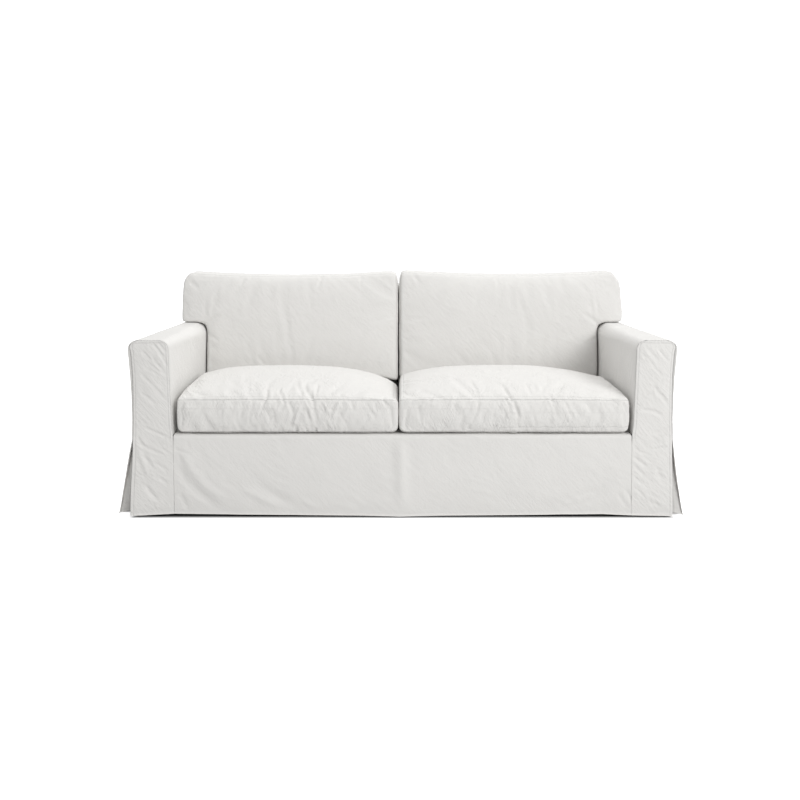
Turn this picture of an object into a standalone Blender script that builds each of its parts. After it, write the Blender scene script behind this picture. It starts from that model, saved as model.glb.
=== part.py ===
"""Fitted slipcover with its four filled cushions: panels, deck, flared skirt and corner pleats.

Metres, +X right, -Y front, +Z up. The origin is on the floor under the middle of the cover.
Each panel is an open sheet laid out on a grid and thickened away from the side that shows.
"""

from collections import namedtuple
from math import atan, cos, degrees, radians, sin, sqrt, tau

import bmesh
import bpy
from mathutils import Vector
from numpy import interp

# Driving sizes
HALF_DEPTH = 0.480        # middle of the cover to the front and back hems
FRONT_Y = -0.474          # face of the arm fronts above the skirt
BACK_Y = 0.452            # face of the outside back above the skirt
DECK_Z = 0.3065           # top of the seat deck
ARM_FRONT_Z = 0.663       # arm height at the front, and at the back
ARM_BACK_Z = 0.655
BACK_Z = 0.815            # top of the back panels
PLEAT_Z = 0.287           # head of the corner slits
CLOTH = 0.0025            # panel thickness with its felled seams
SEAM = 0.0005             # gap kept between sewn edges

# Arms
ARM_CORNER = 0.034        # radius of the arm's outer top edge, and of the inner one at the front
ARM_CORNER_BACK = 0.050   # the inner top edge is softer where the back cushion lies on it
ARM_INNER_FRONT_X = 0.8765
ARM_INNER_BACK_X = 0.868
ARM_STRAIGHT_Z = 0.620    # above this the inner face is upright
ARM_SEAM_ANGLE = 45.0     # where the top edge seam lies on the outer corner
PLEAT_HEM_X = 1.022       # outer corner of the arm front at the hem
SLIT_SET_BACK = {"left": 0.043, "right": 0.022}   # front edge of the outer panel at the hem, behind the front
SLIT_DRAWN_IN = {"left": 0.0, "right": 0.0180}    # and how much less that edge flares
SKIRT_SEAM_X = 0.8625     # seam between the arm front and the front skirt

# Front skirt
RAIL_RADIUS = 0.012       # roll of the cloth over the front of the deck
DECK_SEAM_Y = -0.410

# Back
INSIDE_BACK_Y = 0.265     # at the deck
INSIDE_BACK_LEAN = 0.119  # backward slope of the inside back
BACK_CORNER_FRONT = 0.030
BACK_CORNER_REAR = 0.020
BACK_SIDE_X = 0.990
BACK_SIDE_SEAM_Z = 0.6452 # where the side of the back meets the top of the arm
BACK_TOP_SEAM_Z = 0.791

# Seat cushions
SEAT_FRONT_Y = -0.470
SEAT_REAR_Y = 0.254
SEAT_EDGE_Z = 0.441       # top seam of the front boxing
SEAT_CROWN_Y = -0.120     # where the top reaches its full height
SEAT_PRESSED_Z = 0.411    # top of the seat where the back cushion stands on it
SEAT_PRESSED_Y = 0.060

# Back cushions
BACK_FOOT_Z = 0.419
BACK_FOOT_Y = 0.094       # front of the cushion at its foot and at its top
BACK_HEAD_Y = 0.194
BACK_CROWN = 0.024        # how far the front swells
BACK_DIP = 0.018          # the top edge hangs lower between its corners
EAR_BOTTOM_Z = 0.6590
EAR_X = 0.9875            # end of the part that reaches over the arm

Outline = namedtuple("Outline", "height front_x back_x")
ARM_OUTER = (
    Outline(0.000, 1.0855, 1.0400),
    Outline(0.075, 1.0690, 1.0260),
    Outline(0.150, 1.0505, 1.0120),
    Outline(0.220, 1.0335, 0.9980),
    Outline(0.262, 1.0240, 0.9905),
    Outline(PLEAT_Z, 1.0180, 0.9860),
    Outline(0.370, 1.0160, 0.9860),
    Outline(0.460, 1.0188, 0.9870),
    Outline(0.530, 1.0225, 0.9885),
    Outline(0.620, 1.0300, 0.9900),
)

Hem = namedtuple("Hem", "x forward rise")
FRONT_HEM = (
    Hem(-1.020, 0.003, 0.0015),
    Hem(-0.860, -0.009, 0.0060),
    Hem(-0.550, -0.004, 0.0040),
    Hem(-0.160, 0.001, 0.0020),
    Hem(-0.008, 0.006, 0.0000),
    Hem(0.150, 0.001, 0.0020),
    Hem(0.450, -0.002, 0.0035),
    Hem(0.755, -0.006, 0.0055),
    Hem(0.870, -0.001, 0.0020),
    Hem(1.020, 0.003, 0.0010),
)

Fold = namedtuple("Fold", "top_x top_z low_x low_z half_width relief")
SKIRT_FOLDS = (
    Fold(-0.850, 0.290, -0.600, 0.045, 0.036, 0.0065),
    Fold(-0.860, 0.200, -0.655, 0.015, 0.028, -0.0130),
    Fold(-0.550, 0.120, -0.385, 0.015, 0.028, -0.0060),
    Fold(-0.860, 0.075, -0.800, 0.020, 0.020, -0.0050),
    Fold(0.590, 0.020, 0.700, 0.060, 0.020, -0.0040),
)

Span = namedtuple("Span", "low_x high_x")
SEAT_SPANS = {"left": Span(-0.8490, -0.0185), "right": Span(-0.0105, 0.8530)}

SeatTop = namedtuple("SeatTop", "share left right")
SEAT_TOPS = (             # height of each crown along its width, from the left end
    SeatTop(0.000, 0.480, 0.470),
    SeatTop(0.045, 0.492, 0.484),
    SeatTop(0.160, 0.506, 0.502),
    SeatTop(0.330, 0.510, 0.508),
    SeatTop(0.500, 0.510, 0.511),
    SeatTop(0.670, 0.505, 0.509),
    SeatTop(0.840, 0.486, 0.493),
    SeatTop(0.955, 0.448, 0.474),
    SeatTop(1.000, 0.425, 0.474),
)

BackCushion = namedtuple("BackCushion", "inner_x body_x top_z drawn_in inner_drop")
BACK_CUSHIONS = {
    "left": BackCushion(0.0185, 0.8670, 0.880, 0.014, 0.018),
    "right": BackCushion(-0.0130, 0.8670, 0.884, 0.030, 0.004),
}
SIDES = {"left": -1.0, "right": 1.0}


def mix(start, end, share):
    return start + (end - start) * share


def ease(start, end, value):
    """0 before start and 1 after end, with a smooth rise between."""
    share = min(1.0, max(0.0, (value - start) / (end - start)))
    return share * share * (3.0 - 2.0 * share)


def read_table(table, at, column):
    """A column of a table at a place between its rows, the first column being the place."""
    places = [row[0] for row in table]
    values = [getattr(row, column) for row in table]
    return float(interp(at, places, values))


def spread(start, end, count):
    return [mix(start, end, index / count) for index in range(count + 1)]


# ---------------------------------------------------------------- the cover's faces

def depth_share(y):
    return (y - FRONT_Y) / (BACK_Y - FRONT_Y)


def arm_top_z(y):
    return mix(ARM_FRONT_Z, ARM_BACK_Z, depth_share(y))


def arm_outer_x(y, z, drawn_in=0.0):
    """Outer face of an arm. Below the slits it flares, and its back edge curls in."""
    fall = 1.0 - ease(0.0, PLEAT_Z, z)
    front = read_table(ARM_OUTER, z, "front_x") - drawn_in * sqrt(fall)
    back = read_table(ARM_OUTER, z, "back_x")
    curl = 0.018 * (1.0 - ease(0.0, 0.070, BACK_Y - y))
    wave = 0.004 * sin(tau * (depth_share(y) * 2.5 + 0.1)) * ease(0.03, 0.12, y - FRONT_Y)
    return mix(front, back, depth_share(y)) - fall * (curl + wave * ease(0.03, 0.12, BACK_Y - y))


def arm_inner_x(y, z):
    """Inner face of an arm, drawn in little by little towards the deck at its front."""
    upright = mix(ARM_INNER_FRONT_X, ARM_INNER_BACK_X, depth_share(y))
    drawn_in = mix(0.0105, 0.0, depth_share(y))
    return upright - drawn_in * min(1.0, max(0.0, (ARM_STRAIGHT_Z - z) / (ARM_STRAIGHT_Z - DECK_Z)))


def inside_back_y(z):
    return INSIDE_BACK_Y + INSIDE_BACK_LEAN * (z - DECK_Z)


def fold_relief(fold, x, z):
    """How far one fold stands out at a point, fading over its width and towards its ends."""
    along_x, along_z = fold.low_x - fold.top_x, fold.low_z - fold.top_z
    length = sqrt(along_x ** 2 + along_z ** 2)
    share = ((x - fold.top_x) * along_x + (z - fold.top_z) * along_z) / length ** 2
    across = abs((x - fold.top_x) * along_z - (z - fold.top_z) * along_x) / length
    ends = ease(-0.10, 0.30, share) * (1.0 - ease(0.80, 1.25, share))
    return fold.relief * ends * (1.0 - ease(0.0, fold.half_width, across))


def front_y(x, z):
    """Face of the arm fronts and the front skirt, which share one hem line."""
    fall = (1.0 - ease(0.0, DECK_Z, z)) if z < DECK_Z else 0.0
    relief = sum(fold_relief(fold, x, z) for fold in SKIRT_FOLDS)
    relief *= 1.0 - ease(0.255, 0.290, z)
    return FRONT_Y - fall * read_table(FRONT_HEM, x, "forward") - relief


def back_y(x, z):
    """Face of the outside back, whose skirt stands out in shallow waves."""
    fall = 1.0 - ease(0.0, PLEAT_Z + 0.03, z)
    wave = 0.5 + 0.5 * cos(tau * (x / 0.66 + 0.5))
    return BACK_Y + fall * mix(HALF_DEPTH - BACK_Y - 0.009, HALF_DEPTH - BACK_Y, wave)


def arm_front_wrap(z):
    """How far the outer panel turns round onto the arm front, out to the bulge near the top."""
    return 0.0035 + 0.0075 * ease(0.34, 0.60, z) * (1.0 - ease(0.615, ARM_FRONT_Z - 0.010, z))


def arm_inner_corner(y):
    return mix(ARM_CORNER, ARM_CORNER_BACK, ease(-0.30, 0.10, y))


# ---------------------------------------------------------------- objects

def material(name, shade):
    """Matt off-white cotton, a slightly different tone for each panel."""
    made = bpy.data.materials.new(name)
    made.use_nodes = True
    shader = made.node_tree.nodes["Principled BSDF"]
    shader.inputs["Base Color"].default_value = (shade, shade * 0.993, shade * 0.978, 1.0)
    shader.inputs["Roughness"].default_value = 0.9
    shader.inputs["Metallic"].default_value = 0.0
    made.diffuse_color = shader.inputs["Base Color"].default_value
    return made


def link(name, bm, shade):
    mesh = bpy.data.meshes.new(name)
    bm.to_mesh(mesh)
    bm.free()
    mesh.shade_smooth()
    mesh.materials.append(material(name, shade))
    made = bpy.data.objects.new(name, mesh)
    bpy.data.collections["sofa_slipcover"].objects.link(made)
    return made


def sheet(name, columns, rows, place, facing, shade=0.80, keep=None):
    """A panel: place(column, row) lays out the grid, and facing is the side that shows."""
    bm = bmesh.new()
    across, along = len(columns) - 1, len(rows) - 1
    bmesh.ops.create_grid(bm, x_segments=across, y_segments=along, size=0.5)
    for vert in bm.verts:
        column = columns[round((vert.co.x + 0.5) * across)]
        row = rows[round((vert.co.y + 0.5) * along)]
        vert.co = place(column, row)
    if keep:
        cut_away = [face for face in bm.faces if not keep(face.calc_center_median())]
        bmesh.ops.delete(bm, geom=cut_away, context="FACES")
    bm.normal_update()
    shown = sum((face.normal * face.calc_area() for face in bm.faces), Vector())
    if shown.dot(Vector(facing)) < 0.0:
        bmesh.ops.reverse_faces(bm, faces=bm.faces)
    made = link(name, bm, shade)
    wall = made.modifiers.new("thickness", "SOLIDIFY")
    wall.thickness = CLOTH
    wall.offset = -1.0
    wall.use_even_offset = True
    return made


def arc(centre, radius, start, end, steps):
    """Points round an arc, as pairs, for angles in degrees from the first axis."""
    angles = [radians(angle) for angle in spread(start, end, steps)]
    return [(centre[0] + radius * cos(a), centre[1] + radius * sin(a)) for a in angles]


# ---------------------------------------------------------------- arms

def arm_rows():
    """Rows shared by the arm front and the outer panel: a height, or degrees round the top corner."""
    heights = spread(0.0, PLEAT_Z, 6) + [DECK_Z, 0.35, 0.42, 0.48, 0.53, 0.585]
    angles = [0.0, 22.5, ARM_SEAM_ANGLE - 3.0, ARM_SEAM_ANGLE]
    return [(z, None) for z in heights] + [(None, angle) for angle in angles]


def arm_row_height(row):
    """Height of a shared row at the front of the arm."""
    z, angle = row
    return z if angle is None else ARM_FRONT_Z - ARM_CORNER * (1.0 - sin(radians(angle)))


def round_corner(centre_x, angle, radius, turn):
    """A point on one of the arm's top corners, seen from the front."""
    centre_z = ARM_FRONT_Z - ARM_CORNER
    return centre_x + turn * radius * cos(radians(angle)), centre_z + radius * sin(radians(angle))


def arm_front_row(row):
    """Inner and outer ends of one row of the arm front, each as x and z."""
    z, angle = row
    wrapped = arm_front_wrap(arm_row_height(row)) + SEAM
    if angle is not None:
        inner_x = arm_inner_x(FRONT_Y, ARM_FRONT_Z) + ARM_CORNER
        outer_x = arm_outer_x(FRONT_Y, ARM_FRONT_Z - ARM_CORNER) - ARM_CORNER
        radius = ARM_CORNER - wrapped if angle <= ARM_SEAM_ANGLE else ARM_CORNER
        return round_corner(inner_x, angle, ARM_CORNER, -1.0), round_corner(outer_x, angle, radius, 1.0)
    inner = SKIRT_SEAM_X + SEAM
    inner = mix(inner, arm_inner_x(FRONT_Y, z), ease(DECK_Z, 0.345, z))
    outer = arm_outer_x(FRONT_Y, max(z, PLEAT_Z)) - wrapped
    if z < PLEAT_Z:
        outer = mix(PLEAT_HEM_X, outer, ease(0.0, PLEAT_Z, z))
    return (inner, z), (outer, z)


def add_arm_front(side, sign):
    def place(share, row):
        inner, outer = arm_front_row(row)
        x, z = sign * mix(inner[0], outer[0], share), mix(inner[1], outer[1], share)
        rise = read_table(FRONT_HEM, x, "rise") * (1.0 - ease(0.0, PLEAT_Z, z))
        puff = 0.003 * (1.0 - (2.0 * share - 1.0) ** 2) * ease(0.30, 0.45, z)
        puff *= 1.0 - ease(0.60, ARM_FRONT_Z, z)
        return Vector((x, front_y(x, z) - puff, z + rise))

    rows = arm_rows() + [(None, 67.5), (None, 90.0)]
    sheet(f"arm_front_{side}", spread(0.0, 1.0, 6), rows, place, (0, -1, 0), 0.79)


def arm_section(y):
    """Section of the arm from the deck, over its top, to the seam on the outer corner."""
    top = arm_top_z(y)
    inner, outer = arm_inner_x(y, top), arm_outer_x(y, top)
    heights = [DECK_Z - 0.004, 0.35, 0.42, 0.50, 0.56]
    section = [(arm_inner_x(y, z), z) for z in heights]
    corner = arm_inner_corner(y)
    section += arc((inner + corner, top - corner), corner, 180.0, 90.0, 4)
    near_seam, seam = ARM_SEAM_ANGLE + 4.6, ARM_SEAM_ANGLE + 1.6
    section += arc((outer - ARM_CORNER, top - ARM_CORNER), ARM_CORNER, 90.0, near_seam, 2)
    section += arc((outer - ARM_CORNER, top - ARM_CORNER), ARM_CORNER, seam, seam, 1)[:1]
    return section


def add_inner_arm(side, sign):
    """From the deck up the inner face and over the top of the arm."""
    start = FRONT_Y + CLOTH + SEAM

    def place(share, row):
        z = arm_section(0.2)[row][1]
        past = 0.012 if z < ARM_BACK_Z - ARM_CORNER_BACK + 0.004 else -SEAM - 0.001
        y = mix(start, inside_back_y(z) + past, share)
        x, z = arm_section(y)[row]
        return Vector((sign * x, y, z))

    rows = range(len(arm_section(0.0)))
    sheet(f"inner_arm_{side}", spread(0.0, 1.0, 7), rows, place, (-0.7 * sign, 0, 1), 0.81)


def outer_arm_point(y, row, inset, drawn_in):
    """A point on the outer panel, set in from its outermost line by inset."""
    z, angle = row
    top = arm_top_z(y)
    if angle is None:
        return arm_outer_x(y, z, drawn_in) - inset, z
    centre = (arm_outer_x(y, top - ARM_CORNER) - ARM_CORNER, top - ARM_CORNER)
    return arc(centre, ARM_CORNER - inset, angle, angle, 1)[0]


def add_outer_arm(side, sign):
    """The outer panel, turned a little onto the arm front, down to its flared hem."""
    end = BACK_Y - CLOTH - SEAM
    turned = [(None, angle) for angle in (0.0, 12.0, 50.0, 90.0)]
    depths = [-0.45, -0.425, -0.40, -0.34, -0.22, -0.10, 0.02, 0.14, 0.26, 0.35, 0.41, end]
    straight = [(y, None) for y in depths]

    def place(column, row):
        y, angle = column
        inset = 0.0
        if angle is not None:
            wrap = arm_front_wrap(arm_row_height(row))
            y = FRONT_Y + wrap * (1.0 - cos(radians(angle)))
            inset = wrap * (1.0 - sin(radians(angle)))
        if row[1] is None:
            loose = 1.0 - ease(0.0, PLEAT_Z, row[0])
            y += SLIT_SET_BACK[side] * loose * (end - y) / (end - FRONT_Y)
        x, z = outer_arm_point(y, row, inset, SLIT_DRAWN_IN[side])
        rise = 0.0025 * (1.0 - ease(0.0, PLEAT_Z, z))
        return Vector((sign * x, y, z + rise))

    sheet(f"outer_arm_{side}", turned + straight, arm_rows(), place, (sign, 0, 0), 0.78)


# ---------------------------------------------------------------- front skirt and deck

def add_front_skirt():
    """From the deck seam, rolled over the front rail, down to the hem."""
    fine = spread(-SKIRT_SEAM_X, -0.360, 16)
    plain = spread(-0.360, -0.100, 4)[1:] + [-0.055, -0.008, 0.040] + spread(0.100, SKIRT_SEAM_X, 9)
    columns = fine + plain
    roll = arc((FRONT_Y + RAIL_RADIUS, DECK_Z - RAIL_RADIUS), RAIL_RADIUS, 90.0, 180.0, 3)
    heights = [0.265, 0.238, 0.211, 0.184, 0.157, 0.130, 0.103, 0.076, 0.049, 0.023, 0.0]
    path = [(DECK_SEAM_Y, DECK_Z)] + roll + [(None, z) for z in heights]

    def place(x, point):
        y, z = point
        rise = read_table(FRONT_HEM, x, "rise") * (1.0 - ease(0.0, PLEAT_Z, z))
        return Vector((x, front_y(x, z) if y is None else y, z + rise))

    sheet("front_skirt", columns, path, place, (0, -1, 0), 0.80)


def add_deck():
    """The plain cloth under the seat cushions."""
    def place(share, y):
        half = arm_inner_x(y, DECK_Z) - SEAM
        return Vector((mix(-half, half, share), y, DECK_Z))

    rows = spread(DECK_SEAM_Y + SEAM, INSIDE_BACK_Y + 0.008, 4)
    sheet("seat_deck", spread(0.0, 1.0, 6), rows, place, (0, 0, 1), 0.77)


# ---------------------------------------------------------------- back

def back_section(inset):
    """Front and rear halves of the back's section, each from the arm seam's height up to the top."""
    lean = degrees(atan(INSIDE_BACK_LEAN))
    front_z, rear_z = BACK_Z - BACK_CORNER_FRONT, BACK_Z - BACK_CORNER_REAR
    front_y_centre = inside_back_y(front_z) + BACK_CORNER_FRONT
    front = [(inside_back_y(z) + inset, z) for z in (BACK_SIDE_SEAM_Z, 0.70, 0.75)]
    front += arc((front_y_centre, front_z), BACK_CORNER_FRONT - inset, 180.0 - lean, 90.0, 3)
    rear = [(BACK_Y - inset, z) for z in (BACK_SIDE_SEAM_Z, 0.70, 0.75)]
    rear += arc((BACK_Y - BACK_CORNER_REAR, rear_z), BACK_CORNER_REAR - inset, 0.0, 90.0, 3)
    return front, rear


def back_side_x(z):
    """Side of the back, which narrows to the seam on top of the arm."""
    seam_x = read_table(ARM_OUTER, ARM_FRONT_Z, "back_x") - ARM_CORNER * (1.0 - cos(radians(ARM_SEAM_ANGLE)))
    return mix(seam_x, BACK_SIDE_X, ease(BACK_SIDE_SEAM_Z, 0.680, z))


def add_inside_back():
    """A T of cloth: between the arms below, over them above, and across the top."""
    front, rear = back_section(0.0)
    below = [(inside_back_y(z), z) for z in (DECK_Z + SEAM, 0.40, 0.50, 0.60)]
    section = below + front + rear[:2:-1] + [(BACK_Y, BACK_TOP_SEAM_Z)]
    inner = ARM_INNER_BACK_X - 0.0012
    columns = [-1.0] + spread(-inner, inner, 6) + [1.0]

    def place(column, row):
        y, z = section[row]
        x = column * back_side_x(z) if abs(column) == 1.0 else column
        return Vector((x, y, z))

    def keep(centre):
        return abs(centre.x) < inner or centre.z > BACK_SIDE_SEAM_Z

    sheet("inside_back", columns, range(len(section)), place, (0, -1, 0.4), 0.78, keep)


def add_back_side(side, sign):
    """Closes the end of the back above the arm, inside the edges of its neighbours."""
    front, rear = back_section(CLOTH + 2.0 * SEAM)

    def place(share, row):
        y, z = mix(front[row][0], rear[row][0], share), mix(front[row][1], rear[row][1], share)
        return Vector((sign * back_side_x(z), y, z))

    sheet(f"back_side_{side}", spread(0.0, 1.0, 3), range(len(front)), place, (sign, 0, 0), 0.78)


def outside_back_edge(z):
    """Side edge of the outside back: slit, arm, rounded arm top, then the side of the back."""
    corner_z = ARM_BACK_Z - ARM_CORNER
    if z < PLEAT_Z:
        return mix(0.990, read_table(ARM_OUTER, PLEAT_Z, "back_x"), ease(0.0, PLEAT_Z, z))
    if z <= corner_z:
        return read_table(ARM_OUTER, z, "back_x")
    if z <= BACK_SIDE_SEAM_Z:
        over = z - corner_z
        return read_table(ARM_OUTER, corner_z, "back_x") - ARM_CORNER + sqrt(ARM_CORNER ** 2 - over ** 2)
    return back_side_x(z)


def add_outside_back():
    def place(share, z):
        x = share * outside_back_edge(z)
        rise = 0.0020 * (1.0 - ease(0.0, PLEAT_Z, z))
        return Vector((x, back_y(x, z), z + rise))

    corner_z = ARM_BACK_Z - ARM_CORNER
    rows = spread(0.0, PLEAT_Z, 5) + [0.35, 0.45, 0.54, corner_z, 0.632, BACK_SIDE_SEAM_Z, 0.680]
    rows += [0.74, BACK_TOP_SEAM_Z - SEAM]
    sheet("outside_back", spread(-1.0, 1.0, 18), rows, place, (0, 1, 0), 0.78)


# ---------------------------------------------------------------- corner pleats

def add_corner_pleat(end, side, sign):
    """The strip behind a corner slit, held inside both panels and spread at the hem."""
    turn = -1.0 if end == "front" else 1.0
    drawn_in = SLIT_DRAWN_IN[side] if end == "front" else 0.0
    head = PLEAT_Z + 0.012

    def place(station, z):
        loose = 1.0 - ease(0.0, PLEAT_Z, z)
        if end == "front":
            edge = arm_front_row((min(z, PLEAT_Z), None))[1][0]
        else:
            edge = outside_back_edge(min(z, PLEAT_Z))
        inside = CLOTH + 0.0006 + 0.005 * loose
        if station < 3:
            x = edge - (0.060, 0.032, 0.012)[station]
            panel_y = front_y(sign * x, z) if end == "front" else back_y(sign * x, z)
            y = panel_y - turn * (inside + (0.0, 0.0, 0.0015)[station])
        else:
            if end == "front":
                joined = SLIT_SET_BACK[side] + 0.0050
                inward = (mix(0.011, joined + 0.006, loose), mix(0.024, joined, loose),
                          mix(0.050, joined + 0.026, loose))
            else:
                inward = (0.011, 0.030, 0.055)
            y = (FRONT_Y if end == "front" else BACK_Y) - turn * inward[station - 3]
            side_x = arm_outer_x(y, z, drawn_in) - inside - 0.0012 - 0.004 * loose
            x = (edge + mix(-0.004, 0.004, loose), side_x, side_x)[station - 3]
            x = min(x, side_x)
        return Vector((sign * x, y, z))

    rows = [0.004] + spread(0.0, PLEAT_Z, 6)[1:] + [head]
    sheet(f"corner_pleat_{end}_{side}", range(6), rows, place, (sign, turn, 0), 0.74)


# ---------------------------------------------------------------- cushions

def cage(low, high, cuts):
    """A block cut across at each named place, ready to be shaped."""
    bm = bmesh.new()
    bmesh.ops.create_cube(bm, size=1.0)
    for vert in bm.verts:
        vert.co = [mix(low[i], high[i], vert.co[i] + 0.5) for i in range(3)]
    for axis, places in enumerate(cuts):
        normal = Vector([float(i == axis) for i in range(3)])
        for place in places:
            geometry = bm.verts[:] + bm.edges[:] + bm.faces[:]
            bmesh.ops.bisect_plane(bm, geom=geometry, plane_co=normal * place, plane_no=normal)
    return bm


def lengthen(bm, end, x):
    """Draws the end faces of a cage out to x and returns the new end faces."""
    grown = bmesh.ops.extrude_face_region(bm, geom=end)["geom"]
    bmesh.ops.delete(bm, geom=end, context="FACES")
    for vert in [item for item in grown if isinstance(item, bmesh.types.BMVert)]:
        vert.co.x = x
    return [item for item in grown if isinstance(item, bmesh.types.BMFace)]


def fill_out(name, bm, shade):
    """Rounds a finished cage into a cushion."""
    smooth = link(name, bm, shade).modifiers.new("filling", "SUBSURF")
    smooth.levels = 1
    smooth.render_levels = 1


def seat_top_z(side, share, y):
    """Top of a seat cushion: up from the front seam to the crown, then down under the back cushion."""
    rise = min(1.0, max(0.0, (y - SEAT_FRONT_Y) / (SEAT_CROWN_Y - SEAT_FRONT_Y))) ** 0.8
    crown = mix(SEAT_EDGE_Z, read_table(SEAT_TOPS, share, side), 1.0 - (1.0 - rise) ** 2.2)
    pressed = min(SEAT_PRESSED_Z, read_table(SEAT_TOPS, share, side) - 0.046)
    return mix(crown, pressed, ease(-0.05, SEAT_PRESSED_Y, y))


def add_seat_cushion(side):
    """A boxed cushion that lies flat on the deck."""
    low_x, high_x = SEAT_SPANS[side]
    bands = [mix(low_x, high_x, top.share) for top in SEAT_TOPS[1:-1]]
    rows = [SEAT_FRONT_Y + 0.026, -0.40, -0.33, -0.24, -0.14, -0.03, SEAT_PRESSED_Y, SEAT_REAR_Y - 0.03]
    bm = cage((low_x, SEAT_FRONT_Y, -1.0), (high_x, SEAT_REAR_Y, 1.0), (bands, rows, [-0.55, 0.50]))
    for vert in bm.verts:
        x, y, level = vert.co
        share = (x - low_x) / (high_x - low_x)
        across, along = 2.0 * share - 1.0, 2.0 * (y - SEAT_FRONT_Y) / (SEAT_REAR_Y - SEAT_FRONT_Y) - 1.0
        on_end, on_front = abs(across) > 0.999, abs(along) > 0.999
        low_z = DECK_Z + SEAM + (0.006 if on_end or on_front else 0.0)
        z = mix(low_z, seat_top_z(side, share, y), 0.5 * (level + 1.0))
        bulge = 1.0 - level ** 2
        if on_front:
            y += along * (0.016 * bulge - 0.003) * (1.0 - across ** 4)
        if on_end:
            x += across * 0.003 * (bulge - 1.0 + along ** 2)
        if on_end and on_front and level < -0.9:
            x, z = x - across * 0.010, z + 0.010
        vert.co = (x, y, z)
    fill_out(f"seat_cushion_{side}", bm, 0.80)


def add_back_cushion(side, sign):
    """A cushion that leans on the inside back, stands on the seat and reaches over the arm."""
    size = BACK_CUSHIONS[side]
    bands = [size.inner_x + 0.035, 0.18, 0.36, 0.54, 0.72, size.body_x - 0.030]
    rows = [BACK_FOOT_Z + 0.030, 0.50, 0.58, EAR_BOTTOM_Z, 0.73, 0.79, size.top_z - 0.042]
    bm = cage((size.inner_x, 0.0, BACK_FOOT_Z), (size.body_x, 1.0, size.top_z), (bands, [0.2, 0.8], rows))
    end = [face for face in bm.faces
           if face.normal.x > 0.9 and face.calc_center_median().z > EAR_BOTTOM_Z]
    for x in (0.5 * (size.body_x + EAR_X), EAR_X - 0.030, EAR_X):
        end = lengthen(bm, end, x)
    for vert in bm.verts:
        x, depth, z = vert.co
        across = 2.0 * (x - size.inner_x) / (EAR_X - size.inner_x) - 1.0
        up = (z - BACK_FOOT_Z) / (size.top_z - BACK_FOOT_Z)
        swell = (1.0 - across ** 4) * (1.0 - (2.0 * up - 1.0) ** 4)
        front = mix(BACK_FOOT_Y, BACK_HEAD_Y, up) - BACK_CROWN * swell
        rear = inside_back_y(z) - SEAM - 0.004 * (1.0 - min(1.0, 8.0 * swell))
        if z < 0.49:
            z -= size.inner_drop * (1.0 - ease(-1.0, -0.85, across))
        if up > 0.999:
            z -= BACK_DIP * (1.0 - across ** 2)
            if across > 0.999:
                x, z = x - size.drawn_in, z - 0.015
            elif across < -0.999:
                x, z = x + 0.007, z - 0.006
        vert.co = (sign * x, mix(front, rear, depth), z)
    if sign < 0.0:
        bmesh.ops.reverse_faces(bm, faces=bm.faces)
    fill_out(f"back_cushion_{side}", bm, 0.82)


def clear_scene():
    for item in list(bpy.data.objects):
        bpy.data.objects.remove(item, do_unlink=True)


def main():
    clear_scene()
    group = bpy.data.collections.new("sofa_slipcover")
    bpy.context.scene.collection.children.link(group)
    add_front_skirt()
    add_deck()
    add_inside_back()
    add_outside_back()
    for side, sign in SIDES.items():
        add_arm_front(side, sign)
        add_inner_arm(side, sign)
        add_outer_arm(side, sign)
        add_back_side(side, sign)
        for end in ("front", "back"):
            add_corner_pleat(end, side, sign)
        add_seat_cushion(side)
        add_back_cushion(side, sign)


main()
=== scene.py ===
"""A fitted slipcover for a two-seat sofa, dressed as washed cotton, with its four filled cushions.

Metres, +X right, -Y front, +Z up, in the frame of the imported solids, which it starts from.
"""

import math
from collections import namedtuple

import bmesh
import bpy
import numpy as np
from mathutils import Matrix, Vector


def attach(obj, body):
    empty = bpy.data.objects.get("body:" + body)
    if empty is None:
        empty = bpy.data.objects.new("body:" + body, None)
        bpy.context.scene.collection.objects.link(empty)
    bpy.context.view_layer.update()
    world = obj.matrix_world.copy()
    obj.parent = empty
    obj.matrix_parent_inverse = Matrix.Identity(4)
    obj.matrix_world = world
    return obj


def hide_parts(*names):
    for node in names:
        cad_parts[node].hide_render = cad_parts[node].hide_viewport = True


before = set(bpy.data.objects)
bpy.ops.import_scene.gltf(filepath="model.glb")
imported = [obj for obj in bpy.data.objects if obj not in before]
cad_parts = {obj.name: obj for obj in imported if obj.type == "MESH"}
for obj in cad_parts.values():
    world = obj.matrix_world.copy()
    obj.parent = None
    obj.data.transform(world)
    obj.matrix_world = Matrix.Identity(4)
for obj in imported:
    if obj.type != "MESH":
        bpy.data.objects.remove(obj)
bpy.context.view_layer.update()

bl_info = {
    "name": "Sofa slipcover",
    "version": (1, 0, 0),
    "blender": (4, 5, 0),
    "location": "View3D > Sidebar > Slipcover",
    "description": "Sews the panels of a fitted sofa cover and fills its cushions",
    "category": "Add Mesh",
}

# Sizes shared with the solids
HALF_DEPTH = 0.480
FRONT_Y = -0.474
BACK_Y = 0.452
DECK_Z = 0.3065
ARM_FRONT_Z = 0.663
ARM_BACK_Z = 0.655
BACK_Z = 0.815
PLEAT_Z = 0.287
SEAM = 0.0005
ARM_CORNER = 0.034
ARM_CORNER_BACK = 0.050
ARM_INNER_FRONT_X = 0.8765
ARM_INNER_BACK_X = 0.868
ARM_STRAIGHT_Z = 0.620
ARM_SEAM_ANGLE = math.radians(45.0)
PLEAT_HEM_X = {"left": 1.0255, "right": 1.0180}
SLIT_SET_BACK = {"left": 0.043, "right": 0.022}      # outer panel's edge behind the front, at the hem
SLIT_DRAWN_IN = {"left": 0.0, "right": 0.0180}       # how much less that edge flares
SKIRT_SEAM_X = 0.8625
RAIL_RADIUS = 0.012
DECK_SEAM_Y = -0.410
INSIDE_BACK_Y = 0.265
INSIDE_BACK_LEAN = 0.119
BACK_CORNER_FRONT = 0.030
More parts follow.
